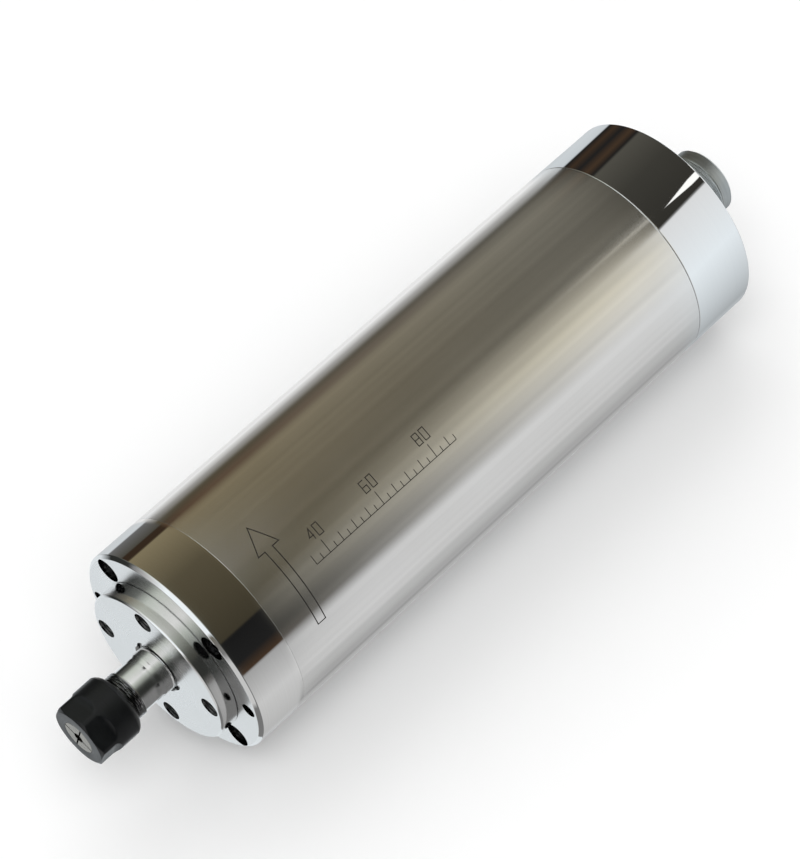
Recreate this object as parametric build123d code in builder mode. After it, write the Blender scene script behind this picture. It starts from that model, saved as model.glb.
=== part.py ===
from build123d import *
import os
from math import cos, radians, sin, tan

# A water-cooled motor spindle for a router: a ground barrel with a bolted cap at each
# end, a shaft in three ball bearings, a squirrel-cage motor between them, and an ER11
# collet with its nut on the nose. The axis lies along X, the nose points to -X, and the
# origin is where the axis meets the front face of the barrel. Sizes are in millimetres.

os.makedirs("parts", exist_ok=True)

# ---------------------------------------------------------------- clearances
seat_gap = 0.02  # radial, between pieces that are fitted together for good
running_gap = 0.05  # radial, between the nose thread or taper and what moves on it
ball_gap = 0.02  # between a ball and its races
labyrinth_gap = 0.35  # between the turning labyrinth nut and the still cover
head_gap = 0.25  # radial, between a screw head and its counterbore
shank_gap = 0.15  # radial, between a screw and a hole that it passes through

# ---------------------------------------------------------------- barrel and caps
barrel_radius = 32.5
barrel_length = 195.0
front_cap_length = 16.0
rear_cap_length = 21.4
front_rim_chamfer = 0.9
rear_rim_chamfer = 0.3
seam_chamfer = 0.12  # broken edges that leave a fine line at each joint of the barrel
sleeve_wall = 1.5

# ---------------------------------------------------------------- cooling jacket
jacket_wall = 6.0
jacket_land = 16.0  # unbroken length at each end of the jacket
channel_count = 8
channel_depth = 3.0
channel_rib = 5.0
channel_link = 9.0  # length of the slot that joins one channel to the next
divider_turn = 225.0  # where the one rib without a slot parts inlet from outlet
water_hole_radius = 1.6
cross_hole_radius = 2.0  # of the drilling from a nipple out to its water hole
water_hole_depth = 2.6  # from the jacket's bore to the middle of a water hole
oring_depth = 1.3
oring_width = 2.0  # of the groove
oring_length = 1.6  # of the squeezed ring, along the axis
oring_inset = 12.0  # from the jacket's end to the middle of the groove

# ---------------------------------------------------------------- front bearing cover
cover_radius = 24.0
cover_height = 5.8
cover_edge_chamfer = 0.4
cover_bore_radius = 8.0
cover_front_wall = 2.8
cover_chamber_radius = 12.0
cover_spigot_length = 4.0
cover_screw_inset = 4.0  # from the cover's rim in to the screw circle

# ---------------------------------------------------------------- screws and tapped holes
m3_radius, m3_head_radius, m3_head_height, m3_key = 1.5, 2.75, 3.0, 2.5
m4_radius, m4_head_radius, m4_head_height, m4_key = 2.0, 3.5, 4.0, 3.0
key_depth_share = 0.5  # depth of the hexagon socket as a share of the head
screw_count = 4
cap_screw_turn = 45.0
cover_screw_sink = 4.0  # depth of each counterbore
front_screw_sink = 10.0
rear_screw_sink = 8.0
cover_screw_length = 8.0
front_screw_length = 14.0
rear_screw_length = 20.0
tap_margin = 1.5  # how far a tapped hole goes on past its screw
nose_hole_radius = 2.2
nose_hole_inset = 3.8  # from the barrel's rim in to the tapped holes
nose_hole_depth = 9.0

# ---------------------------------------------------------------- bearings
front_bore, front_outer, front_width = 7.5, 16.0, 9.0
front_ball_radius, front_ball_count = 2.38, 10
rear_bore, rear_outer, rear_width = 6.0, 14.0, 8.0
rear_ball_radius, rear_ball_count = 2.38, 8
front_bearing_count = 2
front_spacer = 3.0  # length of the matched rings between the front bearings
land_share = 0.6  # height of a race's shoulder as a share of the ball's radius
cage_gap = 0.25  # between a cage and the rings or balls
cage_width = 6.4
bearing_lip = 4.0  # thickness of the shoulder that stops an outer ring
lip_overlap = 2.5  # how far that shoulder stands in over the ring
preload_space = 1.6
spring_thickness = 0.5

# ---------------------------------------------------------------- motor
air_gap = 0.5
bore_offset = 0.07  # of the stator's bore, out from midway between shaft seat and slot floors
winding_room = 7.0  # from the bearing housings to the winding heads
winding_head = 9.0
winding_standoff = 3.0  # bare conductor between the core and a winding head
slot_count = 12
slot_width = 4.2
slot_mouth = 1.8
tooth_tip = 1.4
stator_yoke = 3.6
slot_lining = 0.2
bar_count = 16
bar_radius = 1.1
bar_cover = 0.7  # iron outside each rotor bar
end_ring_length = 4.0
end_ring_drop = 0.6  # how much smaller an end ring is than the rotor
lead_count = 4
lead_radius = 0.8
lead_hole_radius = 1.7
lead_bend_radius = 5.0

# ---------------------------------------------------------------- shaft
nose_journal_radius = 6.85
nose_journal_length = 3.2  # bare journal in front of the cover
neck_radius = 6.5
neck_length = 7.3
thread_radius = 6.9
thread_bare_length = 3.2  # thread left in sight behind the closed nut
shaft_shoulder_radius = 9.4
rotor_seat_radius = 8.5
rear_neck_radius = 7.8
rear_locknut_radius = 9.0
rear_locknut_length = 4.0
shaft_tail = 2.0
socket_relief_radius = 3.6
socket_relief_length = 24.0

# ---------------------------------------------------------------- labyrinth nut
labyrinth_recess = 1.2  # its front stands this far inside the cover's face
labyrinth_disc_radius = 11.0
labyrinth_disc_length = 4.0
labyrinth_seat_radius = 9.2

# ---------------------------------------------------------------- collet
collet_length = 18.0
collet_head_radius = 5.75
collet_nose_radius = 5.0
collet_bore_radius = 1.5875
collet_half_angle = 8.0
collet_nose_angle = 30.0
collet_groove_radius = 4.75
collet_groove_start = 2.0
collet_groove_end = 3.7
collet_head_end = 4.5
collet_slit_width = 0.5
collet_slit_count = 4  # from each end
collet_slit_length = 14.0

# ---------------------------------------------------------------- collet nut
nut_length = 14.6
nut_radius = 9.5
nut_flat_count = 6
nut_flat_radius = 8.5
nut_flat_length = 6.6
nut_cutter_radius = 3.0
nut_runout_angle = 45.0  # of the cutter's arc, up to the round part
nut_corner_turn = 24.0
nut_front_radius = 8.4
nut_front_chamfer = 0.65
nut_rear_radius = 7.2
nut_rear_chamfer = 1.9
nut_rear_rounding = 3.0  # radius of the bulged rear edge
nut_ring_radius = 5.1  # the inner ring that draws the collet out
nut_ring_gap = 0.3

# ---------------------------------------------------------------- connector
connector_radius = 10.4
connector_length = 19.0  # beyond the rear face
connector_neck_radius = 9.5  # where it passes through the rear wall
connector_bore_radius = 8.6
connector_lip_radius = 7.8
connector_tail = 3.5  # thread inside the rear cap, past its wall
connector_edge_chamfer = 0.8
insert_sink = 10.0  # from the mouth down to the insert
insert_length = 8.0
pin_radius = 1.0
pin_circle = 4.5
pin_reach = 6.0  # how far a pin stands out of the insert
pin_tail = 6.0
locknut_flat_radius = 12.0
locknut_length = 2.5
rear_wall = 5.0
wiring_radius = 14.5
wiring_well_depth = 8.0  # inside the jacket
flange_length = 5.0
flange_wall = 2.0  # skirt of the rear cap round the bearing housing's flange
wiring_well_wall = 2.96  # outside the wiring well
lead_inset = 2.5  # from the well's side in to the lead circle

# ---------------------------------------------------------------- hose nipples
nipple_circle = 21.0
nipple_thread_radius = 4.0
nipple_thread_length = 11.0
nipple_hex_radius = 5.0
nipple_hex_length = 3.0
nipple_tube_radius = 3.0
nipple_plain_length = 6.0
nipple_barb_length = 2.8
nipple_barb_count = 2
nipple_barb_root = 2.6
nipple_bore_radius = 1.8

# ---------------------------------------------------------------- places worked out
sleeve_front_x = front_cap_length
sleeve_rear_x = barrel_length - rear_cap_length
sleeve_bore = barrel_radius - sleeve_wall
jacket_radius = sleeve_bore - seat_gap
jacket_bore = jacket_radius - jacket_wall
channel_front_x = sleeve_front_x + jacket_land
channel_rear_x = sleeve_rear_x - jacket_land
channel_floor = jacket_radius - channel_depth
channel_step = 360.0 / channel_count
water_turn = divider_turn - channel_step / 2
water_hole_circle = jacket_bore + water_hole_depth
cap_screw_circle = (jacket_radius + jacket_bore) / 2
nose_hole_spacing = 2 * (barrel_radius - nose_hole_inset)

cover_face_x = -cover_height
cover_screw_circle = cover_radius - cover_screw_inset
front_bearing_x = cover_spigot_length
front_bearing_step = front_width + front_spacer
front_bearing_end_x = front_bearing_x + front_bearing_count * front_bearing_step - front_spacer
front_seat = front_outer + seat_gap
front_pitch = (front_bore + front_outer) / 2
spigot_radius = jacket_bore - seat_gap
spigot_end_x = front_bearing_end_x + bearing_lip

flange_end_x = sleeve_rear_x + flange_length
flange_radius = barrel_radius - flange_wall - seat_gap
wall_inner_x = barrel_length - rear_wall
rear_seat = rear_outer + seat_gap
rear_pitch = (rear_bore + rear_outer) / 2
wiring_well_radius = spigot_radius - wiring_well_wall
wiring_well_x = sleeve_rear_x - wiring_well_depth
lead_circle = wiring_well_radius - lead_inset
rear_lip_x = wiring_well_x - bearing_lip
rear_bearing_x = rear_lip_x - preload_space - rear_width
rear_hub_x = rear_bearing_x - bearing_lip

stack_front_x = spigot_end_x + winding_room + winding_head + winding_standoff
stack_rear_x = rear_hub_x - winding_room - winding_head - winding_standoff
stator_radius = jacket_bore - seat_gap
slot_floor = stator_radius - stator_yoke
stator_bore = (rotor_seat_radius + slot_floor) / 2 + bore_offset
rotor_radius = stator_bore - air_gap
slot_depth = slot_floor - stator_bore - tooth_tip
bar_circle = rotor_radius - bar_cover - bar_radius
rotor_front_x = stack_front_x - end_ring_length
rotor_rear_x = stack_rear_x + end_ring_length

journal_front_x = cover_face_x - nose_journal_length
neck_front_x = journal_front_x - neck_length
nut_rear_x = neck_front_x - thread_bare_length
nut_front_x = nut_rear_x - nut_length
collet_front_x = nut_front_x
collet_rear_x = collet_front_x + collet_length
shaft_front_x = collet_front_x + collet_head_end + running_gap
shaft_rear_x = rear_bearing_x + rear_width + rear_locknut_length + shaft_tail
taper_slope = tan(radians(collet_half_angle))
nose_slope = tan(radians(collet_nose_angle))
collet_tail_radius = collet_head_radius - (collet_length - collet_head_end) * taper_slope


def tail_plane(x):
    """The plane across the axis at x, facing the tail. Its angles turn from +Z to -Y."""
    return Plane(origin=(x, 0, 0), x_dir=(0, 0, 1), z_dir=(1, 0, 0))


def nose_plane(x):
    """The plane across the axis at x, facing the nose. Its angles turn from +Z to +Y."""
    return Plane(origin=(x, 0, 0), x_dir=(0, 0, 1), z_dir=(-1, 0, 0))


def radial_plane(turn):
    """The plane through the axis whose own y points outwards, `turn` from +Z to -Y."""
    angle = radians(turn)
    return Plane(origin=(0, 0, 0), x_dir=(1, 0, 0), z_dir=(0, -cos(angle), -sin(angle)))


def socket_screw(radius, length, head_radius, head_height, key_width):
    """A socket-head screw: its seat at the origin, its head to +Z, its shank to -Z."""
    with BuildPart() as screw:
        Cylinder(head_radius, head_height, align=(Align.CENTER, Align.CENTER, Align.MIN))
        chamfer(screw.edges().group_by(Axis.Z)[-1], length=head_height / 10)
        Cylinder(radius, length, align=(Align.CENTER, Align.CENTER, Align.MAX))
        with BuildSketch(Plane.XY.offset(head_height)):
            RegularPolygon(key_width / 2, 6, major_radius=False)
        extrude(amount=-head_height * key_depth_share, mode=Mode.SUBTRACT)
    return screw.part


def hose_nipple():
    """A hose nipple: its hexagon's seat at the origin, its thread to -Z, its tube to +Z."""
    plain_end = nipple_hex_length + nipple_plain_length
    barb_points = []
    for barb in range(nipple_barb_count):
        barb_start = plain_end + barb * nipple_barb_length
        barb_points.append((nipple_tube_radius, barb_start))
        barb_points.append((nipple_barb_root, barb_start + nipple_barb_length))
    with BuildPart() as nipple:
        with BuildSketch(Plane.XZ):
            with BuildLine():
                Polyline(
                    (nipple_bore_radius, -nipple_thread_length),
                    (nipple_thread_radius, -nipple_thread_length),
                    (nipple_thread_radius, 0),
                    (nipple_tube_radius, 0),
                    *barb_points,
                    (nipple_bore_radius, plain_end + nipple_barb_count * nipple_barb_length),
                    close=True,
                )
            make_face()
        revolve(axis=Axis.Z)
        with BuildSketch():
            RegularPolygon(nipple_hex_radius, 6, major_radius=False)
            Circle(nipple_bore_radius, mode=Mode.SUBTRACT)
        extrude(amount=nipple_hex_length)
    return nipple.part


def bearing_ring(front_x, width, inner_radius, outer_radius, pitch_radius, ball_radius):
    """One ring of a ball bearing, with the groove that its balls run in."""
    with BuildPart() as ring:
        with BuildSketch(Plane.XZ):
            with BuildLine():
                Polyline(
                    (front_x, inner_radius),
                    (front_x + width, inner_radius),
                    (front_x + width, outer_radius),
                    (front_x, outer_radius),
                    close=True,
                )
            make_face()
            with Locations((front_x + width / 2, pitch_radius)):
                Circle(ball_radius + ball_gap, mode=Mode.SUBTRACT)
        revolve(axis=Axis.X)
    return ring.part


def bearing_cage(middle_x, pitch_radius, ball_radius, ball_count):
    """A machined cage: a flat ring between the races, with a pocket for each ball."""
    half_height = land_share * ball_radius - cage_gap
    with BuildPart() as cage:
        with BuildSketch(tail_plane(middle_x - cage_width / 2)):
            Circle(pitch_radius + half_height)
            Circle(pitch_radius - half_height, mode=Mode.SUBTRACT)
        extrude(amount=cage_width)
        for ball in range(ball_count):
            angle = radians(ball * 360 / ball_count)
            outward = (0, -sin(angle), cos(angle))
            with BuildSketch(Plane(origin=(middle_x, 0, 0), z_dir=outward)):
                Circle(ball_radius + cage_gap)
            extrude(amount=pitch_radius + ball_radius, mode=Mode.SUBTRACT)
    return cage.part


# The outer sleeve is a plain ground tube that closes the water channels from outside.
with BuildPart() as outer_sleeve:
    with BuildSketch(Plane.XZ):
        with BuildLine():
            Polyline(
                (sleeve_front_x, sleeve_bore),
                (sleeve_rear_x, sleeve_bore),
                (sleeve_rear_x, barrel_radius - seam_chamfer),
                (sleeve_rear_x - seam_chamfer, barrel_radius),
                (sleeve_front_x + seam_chamfer, barrel_radius),
                (sleeve_front_x, barrel_radius - seam_chamfer),
                close=True,
            )
        make_face()
    revolve(axis=Axis.X)
outer_sleeve.part.label = "outer_sleeve"
export_step(outer_sleeve.part, "parts/outer_sleeve.step")

# The cooling jacket holds the stator. Its channels run along the barrel and are joined
# at alternate ends, so the water goes to and fro once round from inlet to outlet.
with BuildPart() as cooling_jacket:
    with BuildSketch(tail_plane(sleeve_front_x)):
        Circle(jacket_radius)
        Circle(jacket_bore, mode=Mode.SUBTRACT)
    extrude(amount=sleeve_rear_x - sleeve_front_x)
    with BuildSketch(tail_plane(channel_front_x)):
        Circle(barrel_radius)
        Circle(channel_floor, mode=Mode.SUBTRACT)
        with PolarLocations(jacket_radius, channel_count, start_angle=divider_turn):
            Rectangle(3 * channel_depth, channel_rib, mode=Mode.SUBTRACT)
    extrude(amount=channel_rear_x - channel_front_x, mode=Mode.SUBTRACT)
    for rib in range(1, channel_count):
        at_front = rib % 2 == 1
        link_x = channel_front_x if at_front else channel_rear_x - channel_link
        with BuildSketch(tail_plane(link_x)):
            with PolarLocations(channel_floor, 1, start_angle=divider_turn + rib * channel_step):
                Rectangle(
                    2 * channel_depth,
                    channel_rib * 1.2,
                    align=(Align.MIN, Align.CENTER),
                )
        extrude(amount=channel_link, mode=Mode.SUBTRACT)
    for groove_x in (sleeve_front_x + oring_inset, sleeve_rear_x - oring_inset):
        with BuildSketch(tail_plane(groove_x - oring_width / 2)):
            Circle(barrel_radius)
            Circle(jacket_radius - oring_depth, mode=Mode.SUBTRACT)
        extrude(amount=oring_width, mode=Mode.SUBTRACT)
    with Locations(nose_plane(sleeve_front_x)):
        with PolarLocations(cap_screw_circle, screw_count, start_angle=cap_screw_turn):
            Hole(
                m4_radius + seat_gap,
                depth=front_screw_sink + front_screw_length - front_cap_length + tap_margin,
            )
    with Locations(tail_plane(sleeve_rear_x)):
        with PolarLocations(cap_screw_circle, screw_count, start_angle=cap_screw_turn):
            Hole(
                m4_radius + seat_gap,
                depth=rear_screw_sink + rear_screw_length - rear_cap_length + tap_margin,
            )
        with PolarLocations(
            water_hole_circle, 2, start_angle=water_turn, angular_range=channel_step, endpoint=True
        ):
            Hole(water_hole_radius, depth=jacket_land + 2 * water_hole_radius)
cooling_jacket.part.label = "cooling_jacket"
export_step(cooling_jacket.part, "parts/cooling_jacket.step")

# The O-rings are squeezed flat between the groove's floor and the sleeve.
with BuildPart() as sleeve_orings:
    for ring_x in (sleeve_front_x + oring_inset, sleeve_rear_x - oring_inset):
        with BuildSketch(tail_plane(ring_x - oring_length / 2)):
            Circle(sleeve_bore)
            Circle(jacket_radius - oring_depth, mode=Mode.SUBTRACT)
        extrude(amount=oring_length)
sleeve_orings.part.label = "sleeve_orings"
export_step(sleeve_orings.part, "parts/sleeve_orings.step")

# The front end cap carries the front bearing pair in a spigot that centres it in the
# jacket. Its face has the four sunk cap screws and two tapped holes for a fixture.
with BuildPart() as front_end_cap:
    with BuildSketch(Plane.XZ):
        with BuildLine():
            Polyline(
                (0, front_seat),
                (0, barrel_radius - front_rim_chamfer),
                (front_rim_chamfer, barrel_radius),
                (sleeve_front_x - seam_chamfer, barrel_radius),
                (sleeve_front_x, barrel_radius - seam_chamfer),
                (sleeve_front_x, spigot_radius),
                (spigot_end_x, spigot_radius),
                (spigot_end_x, front_outer - lip_overlap),
                (front_bearing_end_x, front_outer - lip_overlap),
                (front_bearing_end_x, front_seat),
                close=True,
            )
        make_face()
    revolve(axis=Axis.X)
    with Locations(nose_plane(0)):
        with PolarLocations(cap_screw_circle, screw_count, start_angle=cap_screw_turn):
            CounterBoreHole(
                m4_radius + shank_gap,
                m4_head_radius + head_gap,
                front_screw_sink,
                depth=front_cap_length,
            )
        with PolarLocations(cover_screw_circle, screw_count):
            Hole(
                m3_radius + seat_gap,
                depth=cover_screw_length - cover_height + cover_screw_sink + tap_margin,
            )
        with PolarLocations(nose_hole_spacing / 2, 2, start_angle=90):
            Hole(nose_hole_radius, depth=nose_hole_depth)
front_end_cap.part.label = "front_end_cap"
export_step(front_end_cap.part, "parts/front_end_cap.step")

with BuildPart() as front_cap_screws:
    with Locations(nose_plane(front_screw_sink)):
        with PolarLocations(cap_screw_circle, screw_count, start_angle=cap_screw_turn):
            add(socket_screw(m4_radius, front_screw_length, m4_head_radius, m4_head_height, m4_key))
front_cap_screws.part.label = "front_cap_screws"
export_step(front_cap_screws.part, "parts/front_cap_screws.step")

# The front bearing cover holds the outer rings down with its spigot, and closes round
# the labyrinth nut with a narrow gap that keeps dust out.
with BuildPart() as front_bearing_cover:
    with BuildSketch(Plane.XZ):
        with BuildLine():
            Polyline(
                (cover_face_x, cover_bore_radius),
                (cover_face_x, cover_radius - cover_edge_chamfer),
                (cover_face_x + cover_edge_chamfer, cover_radius),
                (-2 * seam_chamfer, cover_radius),
                (0, cover_radius - 2 * seam_chamfer),
                (0, front_outer),
                (front_bearing_x, front_outer),
                (front_bearing_x, cover_chamber_radius),
                (cover_face_x + cover_front_wall, cover_chamber_radius),
                (cover_face_x + cover_front_wall, cover_bore_radius),
                close=True,
            )
        make_face()
    revolve(axis=Axis.X)
    with Locations(nose_plane(cover_face_x)):
        with PolarLocations(cover_screw_circle, screw_count):
            CounterBoreHole(
                m3_radius + shank_gap,
                m3_head_radius + head_gap,
                cover_screw_sink,
                depth=cover_height,
            )
front_bearing_cover.part.label = "front_bearing_cover"
export_step(front_bearing_cover.part, "parts/front_bearing_cover.step")

with BuildPart() as front_cover_screws:
    with Locations(nose_plane(cover_face_x + cover_screw_sink)):
        with PolarLocations(cover_screw_circle, screw_count):
            add(socket_screw(m3_radius, cover_screw_length, m3_head_radius, m3_head_height, m3_key))
front_cover_screws.part.label = "front_cover_screws"
export_step(front_cover_screws.part, "parts/front_cover_screws.step")

# Three ball bearings: a pair behind the nose and one at the tail. The outer rings stay
# in the housings, the inner rings turn with the shaft, and balls and cages go between.
front_bearing_starts = [
    front_bearing_x + number * front_bearing_step for number in range(front_bearing_count)
]
front_land = land_share * front_ball_radius
rear_land = land_share * rear_ball_radius

with BuildPart() as front_bearing_outer_rings:
    for start_x in front_bearing_starts:
        add(
            bearing_ring(
                start_x,
                front_width,
                front_pitch + front_land,
                front_outer,
                front_pitch,
                front_ball_radius,
            )
        )
front_bearing_outer_rings.part.label = "front_bearing_outer_rings"
export_step(front_bearing_outer_rings.part, "parts/front_bearing_outer_rings.step")

with BuildPart() as front_bearing_inner_rings:
    for start_x in front_bearing_starts:
        add(
            bearing_ring(
                start_x,
                front_width,
                front_bore + seat_gap,
                front_pitch - front_land,
                front_pitch,
                front_ball_radius,
            )
        )
front_bearing_inner_rings.part.label = "front_bearing_inner_rings"
export_step(front_bearing_inner_rings.part, "parts/front_bearing_inner_rings.step")

with BuildPart() as front_bearing_balls:
    for start_x in front_bearing_starts:
        with Locations(tail_plane(start_x + front_width / 2)):
            with PolarLocations(front_pitch, front_ball_count):
                Sphere(front_ball_radius)
front_bearing_balls.part.label = "front_bearing_balls"
export_step(front_bearing_balls.part, "parts/front_bearing_balls.step")

with BuildPart() as front_bearing_cages:
    for start_x in front_bearing_starts:
        middle_x = start_x + front_width / 2
        add(bearing_cage(middle_x, front_pitch, front_ball_radius, front_ball_count))
front_bearing_cages.part.label = "front_bearing_cages"
export_step(front_bearing_cages.part, "parts/front_bearing_cages.step")

# Two rings, lapped to one length, hold the front bearings apart and keep their preload.
with BuildPart() as front_outer_spacer:
    for start_x in front_bearing_starts[:-1]:
        with BuildSketch(tail_plane(start_x + front_width)):
            Circle(front_outer)
            Circle(front_pitch + front_land, mode=Mode.SUBTRACT)
        extrude(amount=front_spacer)
front_outer_spacer.part.label = "front_outer_spacer"
export_step(front_outer_spacer.part, "parts/front_outer_spacer.step")

with BuildPart() as front_inner_spacer:
    for start_x in front_bearing_starts[:-1]:
        with BuildSketch(tail_plane(start_x + front_width)):
            Circle(front_pitch - front_land)
            Circle(front_bore + seat_gap, mode=Mode.SUBTRACT)
        extrude(amount=front_spacer)
front_inner_spacer.part.label = "front_inner_spacer"
export_step(front_inner_spacer.part, "parts/front_inner_spacer.step")

with BuildPart() as rear_bearing_outer_ring:
    add(
        bearing_ring(
            rear_bearing_x,
            rear_width,
            rear_pitch + rear_land,
            rear_outer,
            rear_pitch,
            rear_ball_radius,
        )
    )
rear_bearing_outer_ring.part.label = "rear_bearing_outer_ring"
export_step(rear_bearing_outer_ring.part, "parts/rear_bearing_outer_ring.step")

with BuildPart() as rear_bearing_inner_ring:
    add(
        bearing_ring(
            rear_bearing_x,
            rear_width,
            rear_bore + seat_gap,
            rear_pitch - rear_land,
            rear_pitch,
            rear_ball_radius,
        )
    )
rear_bearing_inner_ring.part.label = "rear_bearing_inner_ring"
export_step(rear_bearing_inner_ring.part, "parts/rear_bearing_inner_ring.step")

with BuildPart() as rear_bearing_balls:
    with Locations(tail_plane(rear_bearing_x + rear_width / 2)):
        with PolarLocations(rear_pitch, rear_ball_count):
            Sphere(rear_ball_radius)
rear_bearing_balls.part.label = "rear_bearing_balls"
export_step(rear_bearing_balls.part, "parts/rear_bearing_balls.step")

with BuildPart() as rear_bearing_cage:
    middle_x = rear_bearing_x + rear_width / 2
    add(bearing_cage(middle_x, rear_pitch, rear_ball_radius, rear_ball_count))
rear_bearing_cage.part.label = "rear_bearing_cage"
export_step(rear_bearing_cage.part, "parts/rear_bearing_cage.step")

# A coned washer presses the rear outer ring forward and so preloads all the bearings.
with BuildPart() as preload_spring:
    spring_front_x = rear_bearing_x + rear_width
    spring_back_x = spring_front_x + preload_space
    with BuildSketch(Plane.XZ):
        with BuildLine():
            Polyline(
                (spring_front_x, rear_outer),
                (spring_front_x + spring_thickness, rear_outer),
                (spring_back_x, rear_outer - lip_overlap),
                (spring_back_x - spring_thickness, rear_outer - lip_overlap),
                close=True,
            )
        make_face()
    revolve(axis=Axis.X)
preload_spring.part.label = "preload_spring"
export_step(preload_spring.part, "parts/preload_spring.step")

# The rear bearing housing is a hub inside the jacket with a flange on the jacket's end.
# Behind its lip it widens into a well, where the phase leads turn in to the connector.
with BuildPart() as rear_bearing_housing:
    with BuildSketch(Plane.XZ):
        with BuildLine():
            Polyline(
                (rear_hub_x, rear_seat),
                (rear_hub_x, spigot_radius),
                (sleeve_rear_x, spigot_radius),
                (sleeve_rear_x, flange_radius),
                (flange_end_x, flange_radius),
                (flange_end_x, wiring_well_radius),
                (wiring_well_x, wiring_well_radius),
                (wiring_well_x, rear_outer - lip_overlap),
                (rear_lip_x, rear_outer - lip_overlap),
                (rear_lip_x, rear_seat),
                close=True,
            )
        make_face()
    revolve(axis=Axis.X)
    with Locations(tail_plane(wiring_well_x)):
        with PolarLocations(lead_circle, lead_count, start_angle=cap_screw_turn):
            Hole(lead_hole_radius, depth=wiring_well_x - rear_hub_x)
    with Locations(tail_plane(flange_end_x)):
        with PolarLocations(cap_screw_circle, screw_count, start_angle=cap_screw_turn):
            Hole(m4_radius + shank_gap, depth=flange_length)
        with PolarLocations(
            water_hole_circle, 2, start_angle=water_turn, angular_range=channel_step, endpoint=True
        ):
            Hole(water_hole_radius, depth=flange_length)
rear_bearing_housing.part.label = "rear_bearing_housing"
export_step(rear_bearing_housing.part, "parts/rear_bearing_housing.step")

# The rear end cap fits over that flange. Water comes in at a nipple, through a cross
# drilling and on into the jacket; the leads have a chamber in the middle.
with BuildPart() as rear_end_cap:
    with BuildSketch(Plane.XZ):
        with BuildLine():
            Polyline(
                (sleeve_rear_x, flange_radius + seat_gap),
                (sleeve_rear_x, barrel_radius - seam_chamfer),
                (sleeve_rear_x + seam_chamfer, barrel_radius),
                (barrel_length - rear_rim_chamfer, barrel_radius),
                (barrel_length, barrel_radius - rear_rim_chamfer),
                (barrel_length, connector_neck_radius + seat_gap),
                (wall_inner_x, connector_neck_radius + seat_gap),
                (wall_inner_x, wiring_radius),
                (flange_end_x, wiring_radius),
                (flange_end_x, flange_radius + seat_gap),
                close=True,
            )
        make_face()
    revolve(axis=Axis.X)
    with Locations(tail_plane(barrel_length)):
        with PolarLocations(cap_screw_circle, screw_count, start_angle=cap_screw_turn):
            CounterBoreHole(
                m4_radius + shank_gap,
                m4_head_radius + head_gap,
                rear_screw_sink,
                depth=rear_cap_length - flange_length,
            )
        with PolarLocations(
            nipple_circle, 2, start_angle=water_turn, angular_range=channel_step, endpoint=True
        ):
            Hole(nipple_thread_radius + seat_gap, depth=nipple_thread_length + 2 * cross_hole_radius)
    crossing_x = barrel_length - nipple_thread_length - cross_hole_radius
    for turn in (water_turn, water_turn + channel_step):
        outward = Vector(0, -sin(radians(turn)), cos(radians(turn)))
        nipple_end = Vector(crossing_x, 0, 0) + outward * nipple_circle
        with BuildSketch(Plane(origin=nipple_end, z_dir=outward)):
            Circle(cross_hole_radius)
        extrude(
            amount=water_hole_circle - nipple_circle + water_hole_radius / 2, mode=Mode.SUBTRACT
        )
        with BuildSketch(tail_plane(flange_end_x)):
            with PolarLocations(water_hole_circle, 1, start_angle=turn):
                Circle(water_hole_radius)
        extrude(amount=crossing_x - flange_end_x, mode=Mode.SUBTRACT)
rear_end_cap.part.label = "rear_end_cap"
export_step(rear_end_cap.part, "parts/rear_end_cap.step")

with BuildPart() as rear_cap_screws:
    with Locations(tail_plane(barrel_length - rear_screw_sink)):
        with PolarLocations(cap_screw_circle, screw_count, start_angle=cap_screw_turn):
            add(socket_screw(m4_radius, rear_screw_length, m4_head_radius, m4_head_height, m4_key))
rear_cap_screws.part.label = "rear_cap_screws"
export_step(rear_cap_screws.part, "parts/rear_cap_screws.step")

with BuildPart() as hose_nipples:
    with Locations(tail_plane(barrel_length)):
        with PolarLocations(
            nipple_circle, 2, start_angle=water_turn, angular_range=channel_step, endpoint=True
        ):
            add(hose_nipple())
hose_nipples.part.label = "hose_nipples"
export_step(hose_nipples.part, "parts/hose_nipples.step")

# The motor: a slotted stator core with its winding, and a squirrel cage on the shaft.
with BuildPart() as stator_core:
    with BuildSketch(tail_plane(stack_front_x)):
        Circle(stator_radius)
        Circle(stator_bore, mode=Mode.SUBTRACT)
        with PolarLocations(0, slot_count):
            with Locations((stator_bore + tooth_tip, 0)):
                Rectangle(
                    slot_depth,
                    slot_width,
                    align=(Align.MIN, Align.CENTER),
                    mode=Mode.SUBTRACT,
                )
            with Locations((stator_bore - air_gap, 0)):
                Rectangle(
                    tooth_tip + 2 * air_gap,
                    slot_mouth,
                    align=(Align.MIN, Align.CENTER),
                    mode=Mode.SUBTRACT,
                )
    extrude(amount=stack_rear_x - stack_front_x)
stator_core.part.label = "stator_core"
export_step(stator_core.part, "parts/stator_core.step")

# Each slot holds a bundle of wire, and the bundles are tied into a ring at both ends.
with BuildPart() as stator_windings:
    bundle_inner = stator_bore + tooth_tip + slot_lining
    bundle_outer = slot_floor - slot_lining
    bundle_front_x = stack_front_x - winding_standoff
    bundle_length = stack_rear_x - stack_front_x + 2 * winding_standoff
    with BuildSketch(tail_plane(bundle_front_x)):
        with PolarLocations(0, slot_count):
            with Locations((bundle_inner, 0)):
                Rectangle(
                    bundle_outer - bundle_inner,
                    slot_width - 2 * slot_lining,
                    align=(Align.MIN, Align.CENTER),
                )
    extrude(amount=bundle_length)
    for head_x in (bundle_front_x - winding_head, bundle_front_x + bundle_length):
        with BuildSketch(tail_plane(head_x)):
            Circle(bundle_outer)
            Circle(bundle_inner, mode=Mode.SUBTRACT)
        extrude(amount=winding_head)
stator_windings.part.label = "stator_windings"
export_step(stator_windings.part, "parts/stator_windings.step")

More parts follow.
